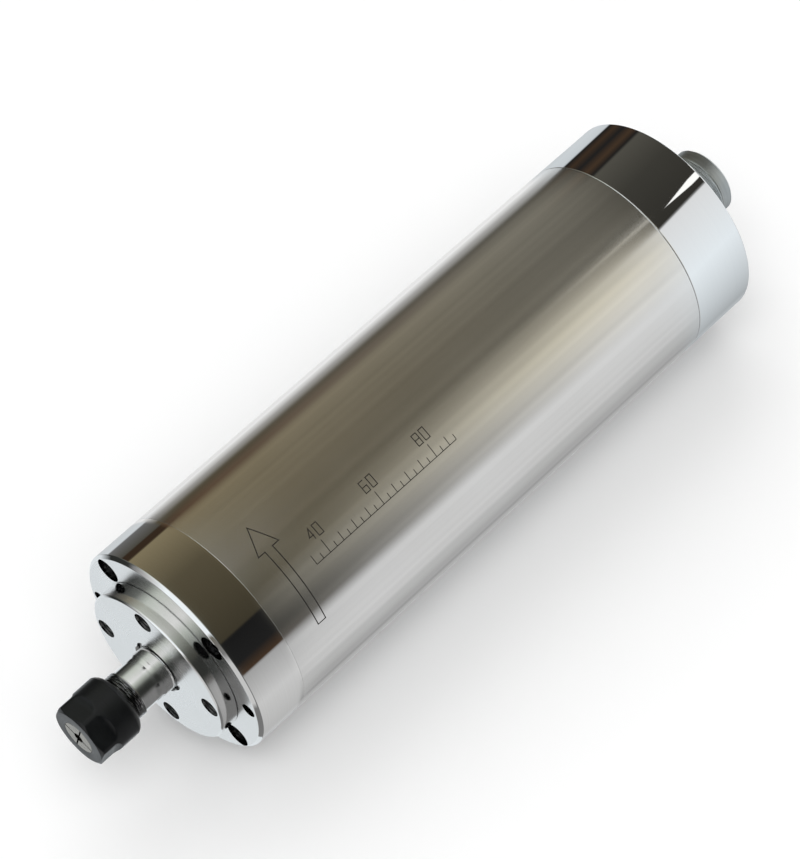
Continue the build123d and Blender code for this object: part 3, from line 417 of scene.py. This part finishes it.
def strip(name, x, arc, wide, loop=False):
    """Section corners at +-w/2 across the line, on two radii; arc is t times the radius.

    At a bend the cross direction is the sum of the two legs' normals, made longer by
    1 / cos of half the bend, so that the strip keeps its width. The cos is held at
    SHARPEST or more.
    """
    line = np.stack((x, arc), -1).astype(float)
    if loop:
        line = np.vstack((line, line[:1]))
    legs = np.linalg.norm(np.diff(line, axis=0), axis=1)
    along = np.concatenate(([0], np.cumsum(legs)))
    places = np.unique(np.round(np.concatenate((along, np.arange(0, along[-1], STRIP_STEP))), 6))
    path = np.stack([np.interp(places, along, line[:, k]) for k in (0, 1)], -1)
    if loop:
        path = path[:-1]
        ahead, behind = np.roll(path, -1, 0) - path, path - np.roll(path, 1, 0)
    else:
        ahead = np.vstack((path[1:] - path[:-1], path[-1:] - path[-2:-1]))
        behind = np.vstack((ahead[:1], ahead[:-1]))
    side_a, side_b = unit(ahead)[:, ::-1] * (-1, 1), unit(behind)[:, ::-1] * (-1, 1)
    mitre = unit(side_a + side_b)
    mitre /= np.maximum((mitre * side_a).sum(1), SHARPEST)[:, None]
    left, right = path + mitre * wide / 2, path - mitre * wide / 2
    flat = np.stack((left, right, right, left), 1)
    radius = np.broadcast_to([STRIP_TOP, STRIP_TOP, STRIP_UNDER, STRIP_UNDER], flat.shape[:2])
    t = flat[..., 1] / BARREL_R
    points = np.stack((flat[..., 0], -radius * np.sin(t), radius * np.cos(t)), -1).reshape(-1, 3)
    faces = ring_faces(len(path), 4, loop)
    if not loop:
        end = 4 * (len(path) - 1)
        faces = np.vstack((faces, [[3, 2, 1, 0]], [[end, end + 1, end + 2, end + 3]]))
    return close_poles(mesh_object(name, points, faces))


def arc_of(degrees):
    """Length round the barrel from the top, in mm."""
    return np.radians(np.asarray(degrees, float)) * BARREL_R


# %% The arrow
STEM_LOW, STEM_HIGH, HEAD_LOW, HEAD_HIGH = 26.3, 29.0, 24.0, 31.3
ARROW_TIP, ARROW_NECK, ARROW_TAIL, ARROW_LINE = 13.0, 27.0, 70.0, 0.3
arrow_x = [(STEM_LOW + STEM_HIGH) / 2, HEAD_HIGH, STEM_HIGH, STEM_HIGH, STEM_LOW, STEM_LOW, HEAD_LOW]
arrow_turn = [ARROW_TIP, ARROW_NECK, ARROW_NECK, ARROW_TAIL, ARROW_TAIL, ARROW_NECK, ARROW_NECK]
arrow = strip("turn_arrow", np.array(arrow_x), arc_of(arrow_turn), ARROW_LINE, loop=True)
print("arrow faces", len(arrow.data.polygons))

# %% [markdown]
# ## A clamping scale
# Behind the arrow stands a plain depth scale: a line with ticks every 2.5 mm, and
# the distance from the nose at every 20 mm. It lets the spindle be put back in its
# clamp at the same height. The figures are strokes, not letters of a font.

# %% Ticks and figures
STROKES = {
    "0": [(0, 0), (0, 2), (1, 2), (1, 0), (0, 0)],
    "4": [(0.8, 0), (0.8, 2), (0, 0.7), (1, 0.7)],
    "6": [(1, 2), (0, 2), (0, 0), (1, 0), (1, 1), (0, 1)],
    "8": [(0, 1), (0, 0), (1, 0), (1, 2), (0, 2), (0, 1), (1, 1)],
}
SCALE_TURN, SCALE_FROM, SCALE_TO, SCALE_LINE = 47.0, 35.0, 87.5, 0.22
TICK_STEP, LONG_TICK, MIDDLE_TICK, SHORT_TICK = 2.5, 4.2, 2.8, 1.7
FIGURES, FIGURE_HIGH, FIGURE_WIDE, FIGURE_STEP = (40, 60, 80), 3.4, 1.6, 2.6
FIGURE_GAP, FIGURE_SHIFT, FIGURE_LINE = 5.2, 0.5, 0.26
base = float(arc_of(SCALE_TURN))
scale_parts = [strip("scale_line", np.array([SCALE_FROM, SCALE_TO]), np.array([base, base]), SCALE_LINE)]
for place in np.arange(SCALE_FROM, SCALE_TO + 0.1, TICK_STEP):
    tall = LONG_TICK if place % 20 == 0 else MIDDLE_TICK if place % 5 == 0 else SHORT_TICK
    scale_parts.append(strip("tick", np.array([place, place]), np.array([base, base - tall]), SCALE_LINE))
for place in FIGURES:
    for k, figure in enumerate(str(place)):
        stroke = np.array(STROKES[figure], float)
        x = place + (k - 1) * FIGURE_STEP + FIGURE_SHIFT + stroke[:, 0] * FIGURE_WIDE
        y = base - FIGURE_GAP - stroke[:, 1] * FIGURE_HIGH / 2
        scale_parts.append(strip("figure", x, y, FIGURE_LINE))


# %% One piece from all the marks
def joined(name, parts):
    """One object with the meshes of all parts; each part's faces have four corners."""
    points, faces, first = [], [], 0
    for part in parts:
        mesh = part.data
        places = np.empty(3 * len(mesh.vertices))
        mesh.vertices.foreach_get("co", places)
        corners = np.empty(4 * len(mesh.polygons), np.int32)
        mesh.loops.foreach_get("vertex_index", corners)
        points.append(places.reshape(-1, 3) / MM)
        faces.append(corners.reshape(-1, 4) + first)
        first += len(mesh.vertices)
        bpy.data.objects.remove(part)
    return mesh_object(name, np.concatenate(points), np.concatenate(faces))


scale_marks = joined("clamping_scale", scale_parts)
print("scale faces", len(scale_marks.data.polygons))

# %% [markdown]
# ## Finishes
# Metal looks alive because its grain runs the way it was worked: round the axis on
# ground and turned surfaces, in rings on a turned face. So each finish reads the
# piece's own coordinates, takes x and the distance from the axis, and stretches fine
# noise along the direction of work. The same noise moves colour, gloss and height.

# %% Node helpers
def rgb(red, green, blue):
    """A screen colour, 0 to 1, as the linear colour that a shader takes."""
    c = np.array([red, green, blue], float)
    lin = np.where(c <= 0.04045, c / 12.92, ((c + 0.055) / 1.055) ** 2.4)
    return (*lin.tolist(), 1.0)


class Finish:
    """A material and the few ways in which its nodes are joined."""

    def __init__(self, name):
        self.material = bpy.data.materials.new(name)
        self.material.use_nodes = True
        self.tree = self.material.node_tree
        self.shader = self.tree.nodes["Principled BSDF"]

    def node(self, kind, inputs=None, **settings):
        """A new node; inputs maps a socket to a value or to the output that feeds it."""
        made = self.tree.nodes.new("ShaderNode" + kind)
        for key, value in settings.items():
            setattr(made, key, value)
        for key, value in (inputs or {}).items():
            if isinstance(value, bpy.types.NodeSocket):
                self.tree.links.new(value, made.inputs[key])
            else:
                made.inputs[key].default_value = value
        return made

    def join(self, output, socket):
        """Feeds a socket of the surface shader."""
        self.tree.links.new(output, self.shader.inputs[socket])

    def worked(self, along, across):
        """(x * along, r * across, 0): constant round the axis, as marks of turning are."""
        place = self.node("TexCoord").outputs["Object"]
        xyz = self.node("SeparateXYZ", {0: place})
        flat = self.node("CombineXYZ", {1: xyz.outputs[1], 2: xyz.outputs[2]})
        r = self.node("VectorMath", {0: flat.outputs[0]}, operation="LENGTH")
        x = self.node("Math", {0: xyz.outputs[0], 1: along}, operation="MULTIPLY")
        out = self.node("Math", {0: r.outputs["Value"], 1: across}, operation="MULTIPLY")
        return self.node("CombineXYZ", {0: x.outputs[0], 1: out.outputs[0]}).outputs[0]

    def plain(self, scale):
        """The piece's own coordinates, times scale."""
        place = self.node("TexCoord").outputs["Object"]
        return self.node("Mapping", {0: place, "Scale": (scale,) * 3}).outputs[0]

    def noise(self, vector, detail=3.0):
        """Noise of 0 to 1 with one lump per unit of vector."""
        return self.node("TexNoise", {"Vector": vector, "Scale": 1.0, "Detail": detail}).outputs["Fac"]

    def ramp(self, fac, stops):
        """A colour that runs through stops, pairs of place (0 to 1) and colour."""
        made = self.node("ValToRGB", {"Fac": fac})
        band = made.color_ramp
        for position, colour in stops[1:-1]:
            band.elements.new(position).color = colour
        ends = (band.elements[0], band.elements[len(band.elements) - 1])
        for element, (position, colour) in zip(ends, (stops[0], stops[-1])):
            element.position, element.color = position, colour
        return made.outputs["Color"]

    def spread(self, fac, low, high):
        """fac from 0.3...0.7, where noise lives, onto low...high."""
        made = self.node("MapRange", {"Value": fac, 1: 0.3, 2: 0.7, 3: low, 4: high})
        return made.outputs["Result"]


# %% The worked metals
DARK_AT, PALE_AT, FACE_FROM, FACE_FULL = 0.32, 0.68, 0.9, 0.99


def worked_metal(name, pale, dark, gloss, grain, blotch, height, metallic=1.0, face=0.0, **sockets):
    """Grain (along, across per metre), slow blotches, and a bump of height metres.

    With face, a flat face across the axis is that much rougher than the round wall:
    it is added where the normal's |x| goes from FACE_FROM to FACE_FULL.
    """
    made = Finish(name)
    lines = made.noise(made.worked(*grain), 4.0)
    cloud = made.noise(made.plain(blotch), 2.0)
    both = made.node("Math", {0: lines, 1: cloud}, operation="ADD")
    half = made.node("Math", {0: both.outputs[0], 1: 0.5}, operation="MULTIPLY").outputs[0]
    made.join(made.ramp(half, [(DARK_AT, rgb(*dark)), (PALE_AT, rgb(*pale))]), "Base Color")
    rough = made.spread(half, gloss[0], gloss[1])
    if face:
        normal = made.node("SeparateXYZ", {0: made.node("TexCoord").outputs["Normal"]})
        lean = made.node("Math", {0: normal.outputs[0]}, operation="ABSOLUTE").outputs[0]
        span = {"Value": lean, 1: FACE_FROM, 2: FACE_FULL, 3: 0.0, 4: face}
        extra = made.node("MapRange", span).outputs[0]
        rough = made.node("Math", {0: rough, 1: extra}, operation="ADD").outputs[0]
    made.join(rough, "Roughness")
    bump = made.node("Bump", {"Strength": 1.0, "Distance": height, "Height": lines})
    made.join(bump.outputs[0], "Normal")
    made.shader.inputs["Metallic"].default_value = metallic
    for key, value in sockets.items():
        made.shader.inputs[key.replace("_", " ")].default_value = value
    return made


# %% The sleeve: ground round its axis
def ground_round(made, amount):
    """Grinding lines run round the axis, so they smear what shows in them along the axis."""
    along = made.node("CombineXYZ", {0: 1.0, 1: 0.0, 2: 0.0})
    made.join(along.outputs[0], "Tangent")
    made.shader.inputs["Anisotropic"].default_value = amount
    return made


SMEAR = 0.60
ground = ground_round(worked_metal("ground_sleeve", (0.955, 0.955, 0.955), (0.915, 0.915, 0.91),
                                   (0.10, 0.15), (5200, 60), 30, 1e-7), SMEAR)


# %% The shaft: bright, with painted shade on its thread
def darker_below(made, edge, factor, over=0.2):
    """Painted shade in the thread's grooves: below x = edge the base is factor times as pale, over mm soft.
    """
    base = made.shader.inputs["Base Color"].links[0].from_socket
    x = made.node("SeparateXYZ", {0: made.node("TexCoord").outputs["Object"]}).outputs[0]
    span = {"Value": x, 1: (edge - over) * MM, 2: edge * MM, 3: factor, 4: 1.0}
    part = made.node("MapRange", span).outputs[0]
    scaled = made.node("VectorMath", {0: base, "Scale": part}, operation="SCALE")
    made.join(scaled.outputs[0], "Base Color")
    return made


# Painted shade: the thread's base colour is darkened to this share of the rest of the shaft.
THREAD_SHADE = 0.30
shaft_steel = darker_below(worked_metal("ground_shaft", (0.955, 0.955, 0.955), (0.905, 0.905, 0.90),
                                        (0.09, 0.13), (4200, 2600), 60, 5e-8), THREAD_END, THREAD_SHADE)

# %% The other metals, rubber and resin
polished = worked_metal("polished_cap", (0.955, 0.955, 0.955), (0.925, 0.925, 0.92),
                        (0.02, 0.04), (2600, 3200), 40, 1e-7, face=0.24)
chrome = worked_metal("chromed_cap", (0.95, 0.955, 0.955), (0.93, 0.935, 0.94),
                      (0.015, 0.03), (900, 2400), 25, 5e-8)
cover_steel = worked_metal("turned_cover", (0.955, 0.955, 0.955), (0.925, 0.925, 0.92),
                          (0.09, 0.13), (4200, 3200), 60, 1e-7, face=0.16)
screw_steel = worked_metal("screw_steel", (0.16, 0.16, 0.17), (0.09, 0.09, 0.10),
                           (0.32, 0.45), (3000, 3000), 400, 1e-6, 0.7)
nickel = worked_metal("dull_nickel", (0.82, 0.84, 0.84), (0.70, 0.72, 0.73),
                      (0.42, 0.52), (2600, 1500), 160, 1e-6)
collet_steel = worked_metal("collet_steel", (0.66, 0.64, 0.60), (0.48, 0.46, 0.43),
                            (0.22, 0.34), (3600, 4200), 300, 1e-6)
inner_steel = worked_metal("inner_steel", (0.72, 0.72, 0.72), (0.58, 0.58, 0.58),
                           (0.20, 0.32), (2000, 2000), 150, 1e-6)
aluminium = worked_metal("cast_aluminium", (0.78, 0.78, 0.77), (0.66, 0.66, 0.65),
                         (0.38, 0.5), (700, 700), 200, 2e-6)
iron = worked_metal("lamination_steel", (0.38, 0.38, 0.39), (0.22, 0.22, 0.23),
                    (0.4, 0.55), (4000, 300), 200, 2e-6)
copper = worked_metal("copper_wire", (0.80, 0.47, 0.30), (0.62, 0.32, 0.19),
                      (0.25, 0.38), (2400, 2400), 300, 4e-6)
oxide = worked_metal("black_oxide", (0.060, 0.068, 0.076), (0.030, 0.034, 0.038),
                     (0.26, 0.40), (2600, 1800), 260, 1e-6, 0.0, Specular_IOR_Level=0.35)
rubber = worked_metal("seal_rubber", (0.11, 0.11, 0.11), (0.06, 0.06, 0.06),
                      (0.55, 0.7), (1200, 1200), 300, 4e-6, 0.0)
plastic = worked_metal("insulator", (0.12, 0.12, 0.13), (0.07, 0.07, 0.08),
                       (0.38, 0.5), (900, 900), 300, 2e-6, 0.0)
gold = worked_metal("contact_plate", (0.90, 0.74, 0.42), (0.78, 0.60, 0.30),
                    (0.14, 0.24), (1600, 1600), 300, 1e-6)
resin = worked_metal("cage_resin", (0.52, 0.38, 0.22), (0.40, 0.28, 0.15),
                     (0.45, 0.6), (1200, 1200), 300, 3e-6, 0.0)
etched = worked_metal("etched_line", (0.20, 0.185, 0.165), (0.12, 0.11, 0.10),
                      (0.5, 0.65), (900, 900), 1500, 1e-6, 0.4)
print("materials", len(bpy.data.materials))

# %% [markdown]
# ## Which finish goes where
# The record names a slot for each piece of the spindle. A new piece hides its CAD node
# and gets a finish of its own; the rest keep their CAD shape and get their slot's finish.

# %% Dress the pieces
NEW_PIECES = (
    (barrel_sleeve, "outer_sleeve", "housing", "ground_stainless", ground),
    (nose_cap, "front_end_cap", "housing", "polished_stainless", polished),
    (bearing_cover, "front_bearing_cover", "housing", "polished_stainless", cover_steel),
    (tail_cap, "rear_end_cap", "housing", "mirror_chrome", chrome),
    (coupling, "connector_shell", "housing", "connector_metal", nickel),
    (shaft, "spindle_shaft", "rotor", "shaft_steel", shaft_steel),
    (nut, "collet_nut", "nut", "black_oxide", oxide),
)
for piece, node, body, slot, finish in NEW_PIECES:
    smooth(piece)
    piece.data.materials.clear()
    piece.data.materials.append(finish.material)
    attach(piece, body)
    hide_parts(node)
for marks in (arrow, scale_marks):
    marks.data.materials.append(etched.material)
    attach(marks, "housing")

# %% Finishes of the CAD nodes that stay
BY_SLOT = {
    "ground_stainless": ground, "polished_stainless": polished, "mirror_chrome": chrome,
    "cast_aluminium": aluminium, "seal_rubber": rubber, "screw_steel": screw_steel,
    "bearing_steel": inner_steel, "lamination_steel": iron, "copper_wire": copper,
    "lead_insulation": rubber, "spring_steel": inner_steel, "nickel_plate": nickel,
    "connector_metal": nickel, "insulator": plastic, "contact_plate": gold,
    "shaft_steel": shaft_steel, "cage_aluminium": aluminium, "cage_resin": resin,
    "collet_steel": collet_steel, "black_oxide": oxide,
}
for node in nodes.values():
    for holder in node.material_slots:
        holder.material = BY_SLOT[holder.material.name.split(".")[0]].material
print("dressed", len(nodes), "nodes and", len(NEW_PIECES) + 2, "new pieces")

# %% [markdown]
# ## The studio
# The spindle lies on a pale floor under large soft lamps. Polished steel shows the
# room and not its own colour, so a studio stands cards round such a piece, and what
# shows in the barrel are those cards. Here they are one curved screen round the axis.
# Only reflections see it: it isn't in the picture and casts no shadow.

# %% Floor
FLOOR_Z, FLOOR_HALF, FLOOR_ROUGHNESS = -BARREL_R, 2500.0, 0.9
FLOOR_DARK, FLOOR_PALE = rgb(0.985, 0.985, 0.985), rgb(0.995, 0.995, 0.995)
corner = np.array([(-1, -1), (1, -1), (1, 1), (-1, 1)]) * FLOOR_HALF
floor_points = np.column_stack((corner, np.full(4, FLOOR_Z)))
floor = mesh_object("floor", floor_points, np.array([[0, 1, 2, 3]]))
floor_finish = Finish("pale_floor")
shade = floor_finish.noise(floor_finish.plain(3.0))
floor_finish.join(floor_finish.ramp(shade, [(0.0, FLOOR_DARK), (1.0, FLOOR_PALE)]), "Base Color")
floor_finish.shader.inputs["Roughness"].default_value = FLOOR_ROUGHNESS
floor.data.materials.append(floor_finish.material)
floor.visible_glossy = False
print("floor", 2 * FLOOR_HALF, "mm across at z =", FLOOR_Z)

# %% The cards' colours
# Each list goes round the screen: degrees from the top towards -Y, tint, and grey.
# Two stops close together are a card's edge; between stops further apart the grey
# changes slowly, as it does on cloth that a lamp lights from one end.
WHITE, COOL, GREEN = (1.0, 1.0, 1.0), (0.975, 1.0, 1.015), (0.97, 1.0, 0.96)
STONE, OLIVE, TAN = (1.04, 1.01, 0.92), (1.11, 1.02, 0.80), (1.12, 1.02, 0.80)
BROWN = (1.27, 0.98, 0.74)
LAMP_CARDS = [
    (-180, WHITE, 0.80), (-112, WHITE, 0.60), (-95, WHITE, 0.17), (-85, WHITE, 0.17),
    (-60, WHITE, 0.74), (-40, COOL, 0.96), (48, COOL, 0.94), (58, STONE, 0.40),
    (88, WHITE, 0.46), (102, WHITE, 0.75), (180, WHITE, 0.78),
]
SHAFT_CARDS = [
    (-180, COOL, 0.86), (-112, COOL, 0.86), (-100, GREEN, 0.17), (-84, GREEN, 0.18),
    (-58, GREEN, 0.37), (-38, GREEN, 0.78), (8, WHITE, 0.90), (24, GREEN, 0.73),
    (47, GREEN, 0.31), (60, GREEN, 0.19), (84, GREEN, 0.19), (108, WHITE, 0.42), (180, WHITE, 0.46),
]
COVER_CARDS = [
    (-180, WHITE, 0.58), (-108, WHITE, 0.54), (-93, WHITE, 0.22), (-63, STONE, 0.47),
    (-35, GREEN, 0.69), (14, GREEN, 0.65), (41, GREEN, 0.34), (60, GREEN, 0.19), (80, GREEN, 0.20),
    (100, WHITE, 0.67), (180, WHITE, 0.59),
]
NOSE_CARDS = [
    (-180, WHITE, 0.70), (-105, COOL, 0.80), (-102, WHITE, 0.40), (-79, STONE, 0.28),
    (-77, BROWN, 0.16), (-68, BROWN, 0.16), (-66, OLIVE, 0.44), (-15, OLIVE, 0.29),
    (54.5, OLIVE, 0.21), (56.5, WHITE, 0.10), (80, WHITE, 0.12), (91.5, BROWN, 0.20),
    (93.5, WHITE, 0.62), (130, WHITE, 0.77), (180, WHITE, 0.70),
]
SLEEVE_FRONT_CARDS = [
    (-180, WHITE, 0.60), (-115, WHITE, 0.90), (-85, OLIVE, 0.28), (-70, BROWN, 0.26),
    (-60, TAN, 0.42), (40, OLIVE, 0.28), (54, STONE, 0.40), (62, STONE, 0.38), (76, STONE, 0.27),
    (90, STONE, 0.27), (101, WHITE, 0.76), (130, WHITE, 0.80), (180, WHITE, 0.58),
]
SLEEVE_BACK_CARDS = [
    (-180, WHITE, 0.60), (-115, WHITE, 0.92), (-82, STONE, 0.33), (-62, STONE, 0.45),
    (-10, STONE, 0.38), (20, STONE, 0.41), (55, STONE, 0.78), (100, WHITE, 0.82),
    (130, WHITE, 0.79), (180, WHITE, 0.60),
]
TAIL_CARDS = [
    (-180, COOL, 0.66), (-112, COOL, 0.80), (-93, COOL, 0.78), (-90, WHITE, 0.11),
    (-80, BROWN, 0.18), (-69, WHITE, 0.12), (-58, BROWN, 0.20), (-50, WHITE, 0.11),
    (-47, STONE, 0.29), (-12, STONE, 0.22), (37.5, STONE, 0.18), (39.5, WHITE, 0.85),
    (95, COOL, 0.91), (180, COOL, 0.66),
]

# %% The screen
SCREEN_R, SCREEN_FROM, SCREEN_TO = 500.0, -1800.0, 1200.0
screen_x = np.linspace(SCREEN_FROM, SCREEN_TO, 4)
screen = turned("card_screen", screen_x, np.full(4, SCREEN_R), 180, closed=False)
cards = Finish("studio_cards")
on_screen = cards.node("SeparateXYZ", {0: cards.node("TexCoord").outputs["Object"]})
minus_y = cards.node("Math", {0: on_screen.outputs[1], 1: -1.0}, operation="MULTIPLY").outputs[0]
radians = cards.node("Math", {0: minus_y, 1: on_screen.outputs[2]}, operation="ARCTAN2").outputs[0]
degrees = cards.node("Math", {0: radians, 1: 180 / np.pi}, operation="MULTIPLY").outputs[0]


def card_ramp(angle, stops):
    """The colour of a list of cards at an angle in degrees."""
    share = cards.node("MapRange", {"Value": angle, 1: -180.0, 2: 180.0, 3: 0.0, 4: 1.0}).outputs[0]
    return cards.ramp(share, [((d + 180) / 360, rgb(*(grey * c for c in tint))) for d, tint, grey in stops])


def later(start, end):
    """0 before start and 1 after end, both in mm along X."""
    return cards.node("MapRange", {"Value": on_screen.outputs[0], 1: start * MM, 2: end * MM}).outputs[0]


def crossfade(before, after, share):
    """(1 - share) before + share after."""
    return cards.node("Mix", {0: share, 6: before, 7: after}, data_type="RGBA").outputs[2]


# %% Cards that change along the axis
# The tail's cards stand askew: their edges move round by SKEW degrees per mm of X.
SKEW, SKEW_X, SKEW_SPAN = 0.147, 445.0, 100.0
TAIL_FROM, TAIL_FULL = 425.5, 427.5
skew_from, skew_to = (SKEW_X - SKEW_SPAN) * MM, (SKEW_X + SKEW_SPAN) * MM
most = SKEW_SPAN * SKEW
skew_map = {"Value": on_screen.outputs[0], 1: skew_from, 2: skew_to, 3: -most, 4: most}
beyond = cards.node("MapRange", skew_map).outputs[0]
skewed = cards.node("Math", {0: degrees, 1: beyond}, operation="ADD").outputs[0]
colour = card_ramp(degrees, LAMP_CARDS)
for stops, start, end in (
    (SHAFT_CARDS, -400, -350), (COVER_CARDS, 139.5, 141), (NOSE_CARDS, 150.5, 151.5),
    (SLEEVE_FRONT_CARDS, 175, 177), (SLEEVE_BACK_CARDS, 186, 386),
):
    colour = crossfade(colour, card_ramp(degrees, stops), later(start, end))

# %% Folds and slanted strips
# Cloth cards hang in folds, and the ground sleeve draws each fold out into a streak.
# A strip is a wedge: |u - u0| is less than a width that grows from nothing.
FOLDS, FOLD_DEPTH, FOLDS_FROM, FOLDS_FULL = 0.13, 0.13, 176, 180
STREAK = {"at": 26.5, "start": 360, "full": 428, "half": 1.3, "soft": 0.5}
STREAK_LIGHT, STREAK_SHARE = rgb(0.95, 0.93, 0.86), 0.35
SLANTED = {"at": 27.5, "start": 437, "full": 456, "half": 3.2, "soft": 0.3}
SLANTED_LIGHT = rgb(1.0, 0.995, 0.98)


def wedge(angle, at, start, full, half, soft):
    """1 inside a strip round an angle, which widens to half on each side between start and full."""
    off = cards.node("Math", {0: angle, 1: -at}, operation="ADD").outputs[0]
    away = cards.node("Math", {0: off}, operation="ABSOLUTE").outputs[0]
    span = {"Value": on_screen.outputs[0], 1: start * MM, 2: full * MM, 3: -soft, 4: half}
    wide = cards.node("MapRange", span).outputs[0]
    depth = cards.node("Math", {0: wide, 1: away}, operation="SUBTRACT").outputs[0]
    return cards.node("MapRange", {"Value": depth, 1: -soft, 2: soft, 3: 0.0, 4: 1.0}).outputs[0]


fold_place = cards.node("CombineXYZ", {0: degrees, 1: 0.0, 2: 0.0}).outputs[0]
folds = cards.node("TexNoise", {"Vector": fold_place, "Scale": FOLDS, "Detail": 3.0}).outputs["Fac"]
fold_shade = cards.spread(folds, 1 - FOLD_DEPTH, 1 + FOLD_DEPTH)
folded = cards.node("VectorMath", {0: colour, "Scale": fold_shade}, operation="SCALE").outputs[0]
colour = crossfade(colour, folded, later(FOLDS_FROM, FOLDS_FULL))
streak = wedge(degrees, **STREAK)
faint = cards.node("Math", {0: streak, 1: STREAK_SHARE}, operation="MULTIPLY").outputs[0]
colour = crossfade(colour, STREAK_LIGHT, faint)
colour = crossfade(colour, card_ramp(skewed, TAIL_CARDS), later(TAIL_FROM, TAIL_FULL))
colour = crossfade(colour, SLANTED_LIGHT, wedge(skewed, **SLANTED))

# %% The screen's light
CARD_GAIN = 1.15
glow = cards.node("Emission", {"Color": colour, "Strength": CARD_GAIN})
cards.tree.links.new(glow.outputs[0], cards.tree.nodes["Material Output"].inputs["Surface"])
screen.data.materials.append(cards.material)
for unseen in ("visible_camera", "visible_diffuse", "visible_shadow", "visible_transmission",
               "visible_volume_scatter"):
    setattr(screen, unseen, False)
print("card nodes", len(cards.tree.nodes))

# %% [markdown]
# ## World and lamps
# The camera and the glossy rays see pure white wherever nothing else stands. Every
# other ray sees a dimmer white, and two large lamps add to it from above, so the
# floor is nearly white as well and the spindle's shadow on it is soft.

# %% World
AMBIENT, WHITE_SKY = 0.62, 1.0
world = bpy.data.worlds.new("studio")
bpy.context.scene.world = world
world.use_nodes = True
sky = world.node_tree
rays = sky.nodes.new("ShaderNodeLightPath")
sees_white = rays.outputs["Is Camera Ray"]
for ray in ("Is Glossy Ray", "Is Transmission Ray"):
    larger = sky.nodes.new("ShaderNodeMath")
    larger.operation = "MAXIMUM"
    sky.links.new(sees_white, larger.inputs[0])
    sky.links.new(rays.outputs[ray], larger.inputs[1])
    sees_white = larger.outputs[0]
ambient = sky.nodes.new("ShaderNodeBackground")
white = sky.nodes.new("ShaderNodeBackground")
either = sky.nodes.new("ShaderNodeMixShader")
for part, strength in ((ambient, AMBIENT), (white, WHITE_SKY)):
    part.inputs["Color"].default_value = (1, 1, 1, 1)
    part.inputs["Strength"].default_value = strength
sky.links.new(sees_white, either.inputs[0])
sky.links.new(ambient.outputs[0], either.inputs[1])
sky.links.new(white.outputs[0], either.inputs[2])
sky.links.new(either.outputs[0], sky.nodes["World Output"].inputs["Surface"])
print("world nodes", len(sky.nodes))


# %% Lamps
BARREL_MIDDLE = Vector((90, 0, 0))


def lamp(name, place, size, power):
    """A square soft lamp at place, in mm, that points at the middle of the barrel."""
    light = bpy.data.lights.new(name, "AREA")
    light.size, light.energy = size * MM, power
    made = bpy.data.objects.new(name, light)
    bpy.context.scene.collection.objects.link(made)
    made.location = Vector(place) * MM
    aim = BARREL_MIDDLE * MM - made.location
    made.rotation_euler = aim.to_track_quat("-Z", "Y").to_euler()
    made.visible_glossy = False
    return made


lamp("key_lamp", (-300, -700, 1300), 1200, 10.0)
lamp("fill_lamp", (700, 900, 1100), 1400, 7.0)
print("lamps", len(bpy.data.lights))

# %% [markdown]
# ## The camera
# A long lens looks down on the spindle from its nose end. The camera's place is
# written as a direction and distance from the point that it looks at.

# %% Camera
AIM, DISTANCE = Vector((91.812, 5.288, 0.0)), 880.792
AZIMUTH, ELEVATION, ROLL, LENS = -127.0051, 49.981, -11.6205, 134.584
az, el, roll = np.radians((AZIMUTH, ELEVATION, ROLL))
back = Vector((np.cos(el) * np.cos(az), np.cos(el) * np.sin(az), np.sin(el)))
level = (-back).cross(Vector((0, 0, 1))).normalized()
rise = level.cross(-back)
side = level * np.cos(roll) + rise * np.sin(roll)
top = back.cross(side)
facing = Matrix((side, top, back)).transposed().to_4x4()
long_lens = bpy.data.cameras.new("camera")
long_lens.lens, long_lens.sensor_width = LENS, 36.0
long_lens.clip_start, long_lens.clip_end = 0.01, 20.0
camera = bpy.data.objects.new("camera", long_lens)
bpy.context.scene.collection.objects.link(camera)
camera.matrix_world = Matrix.Translation((AIM + back * DISTANCE) * MM) @ facing
bpy.context.scene.camera = camera
bpy.context.scene.view_settings.view_transform = "Standard"
print("camera at", [round(v, 4) for v in camera.location])
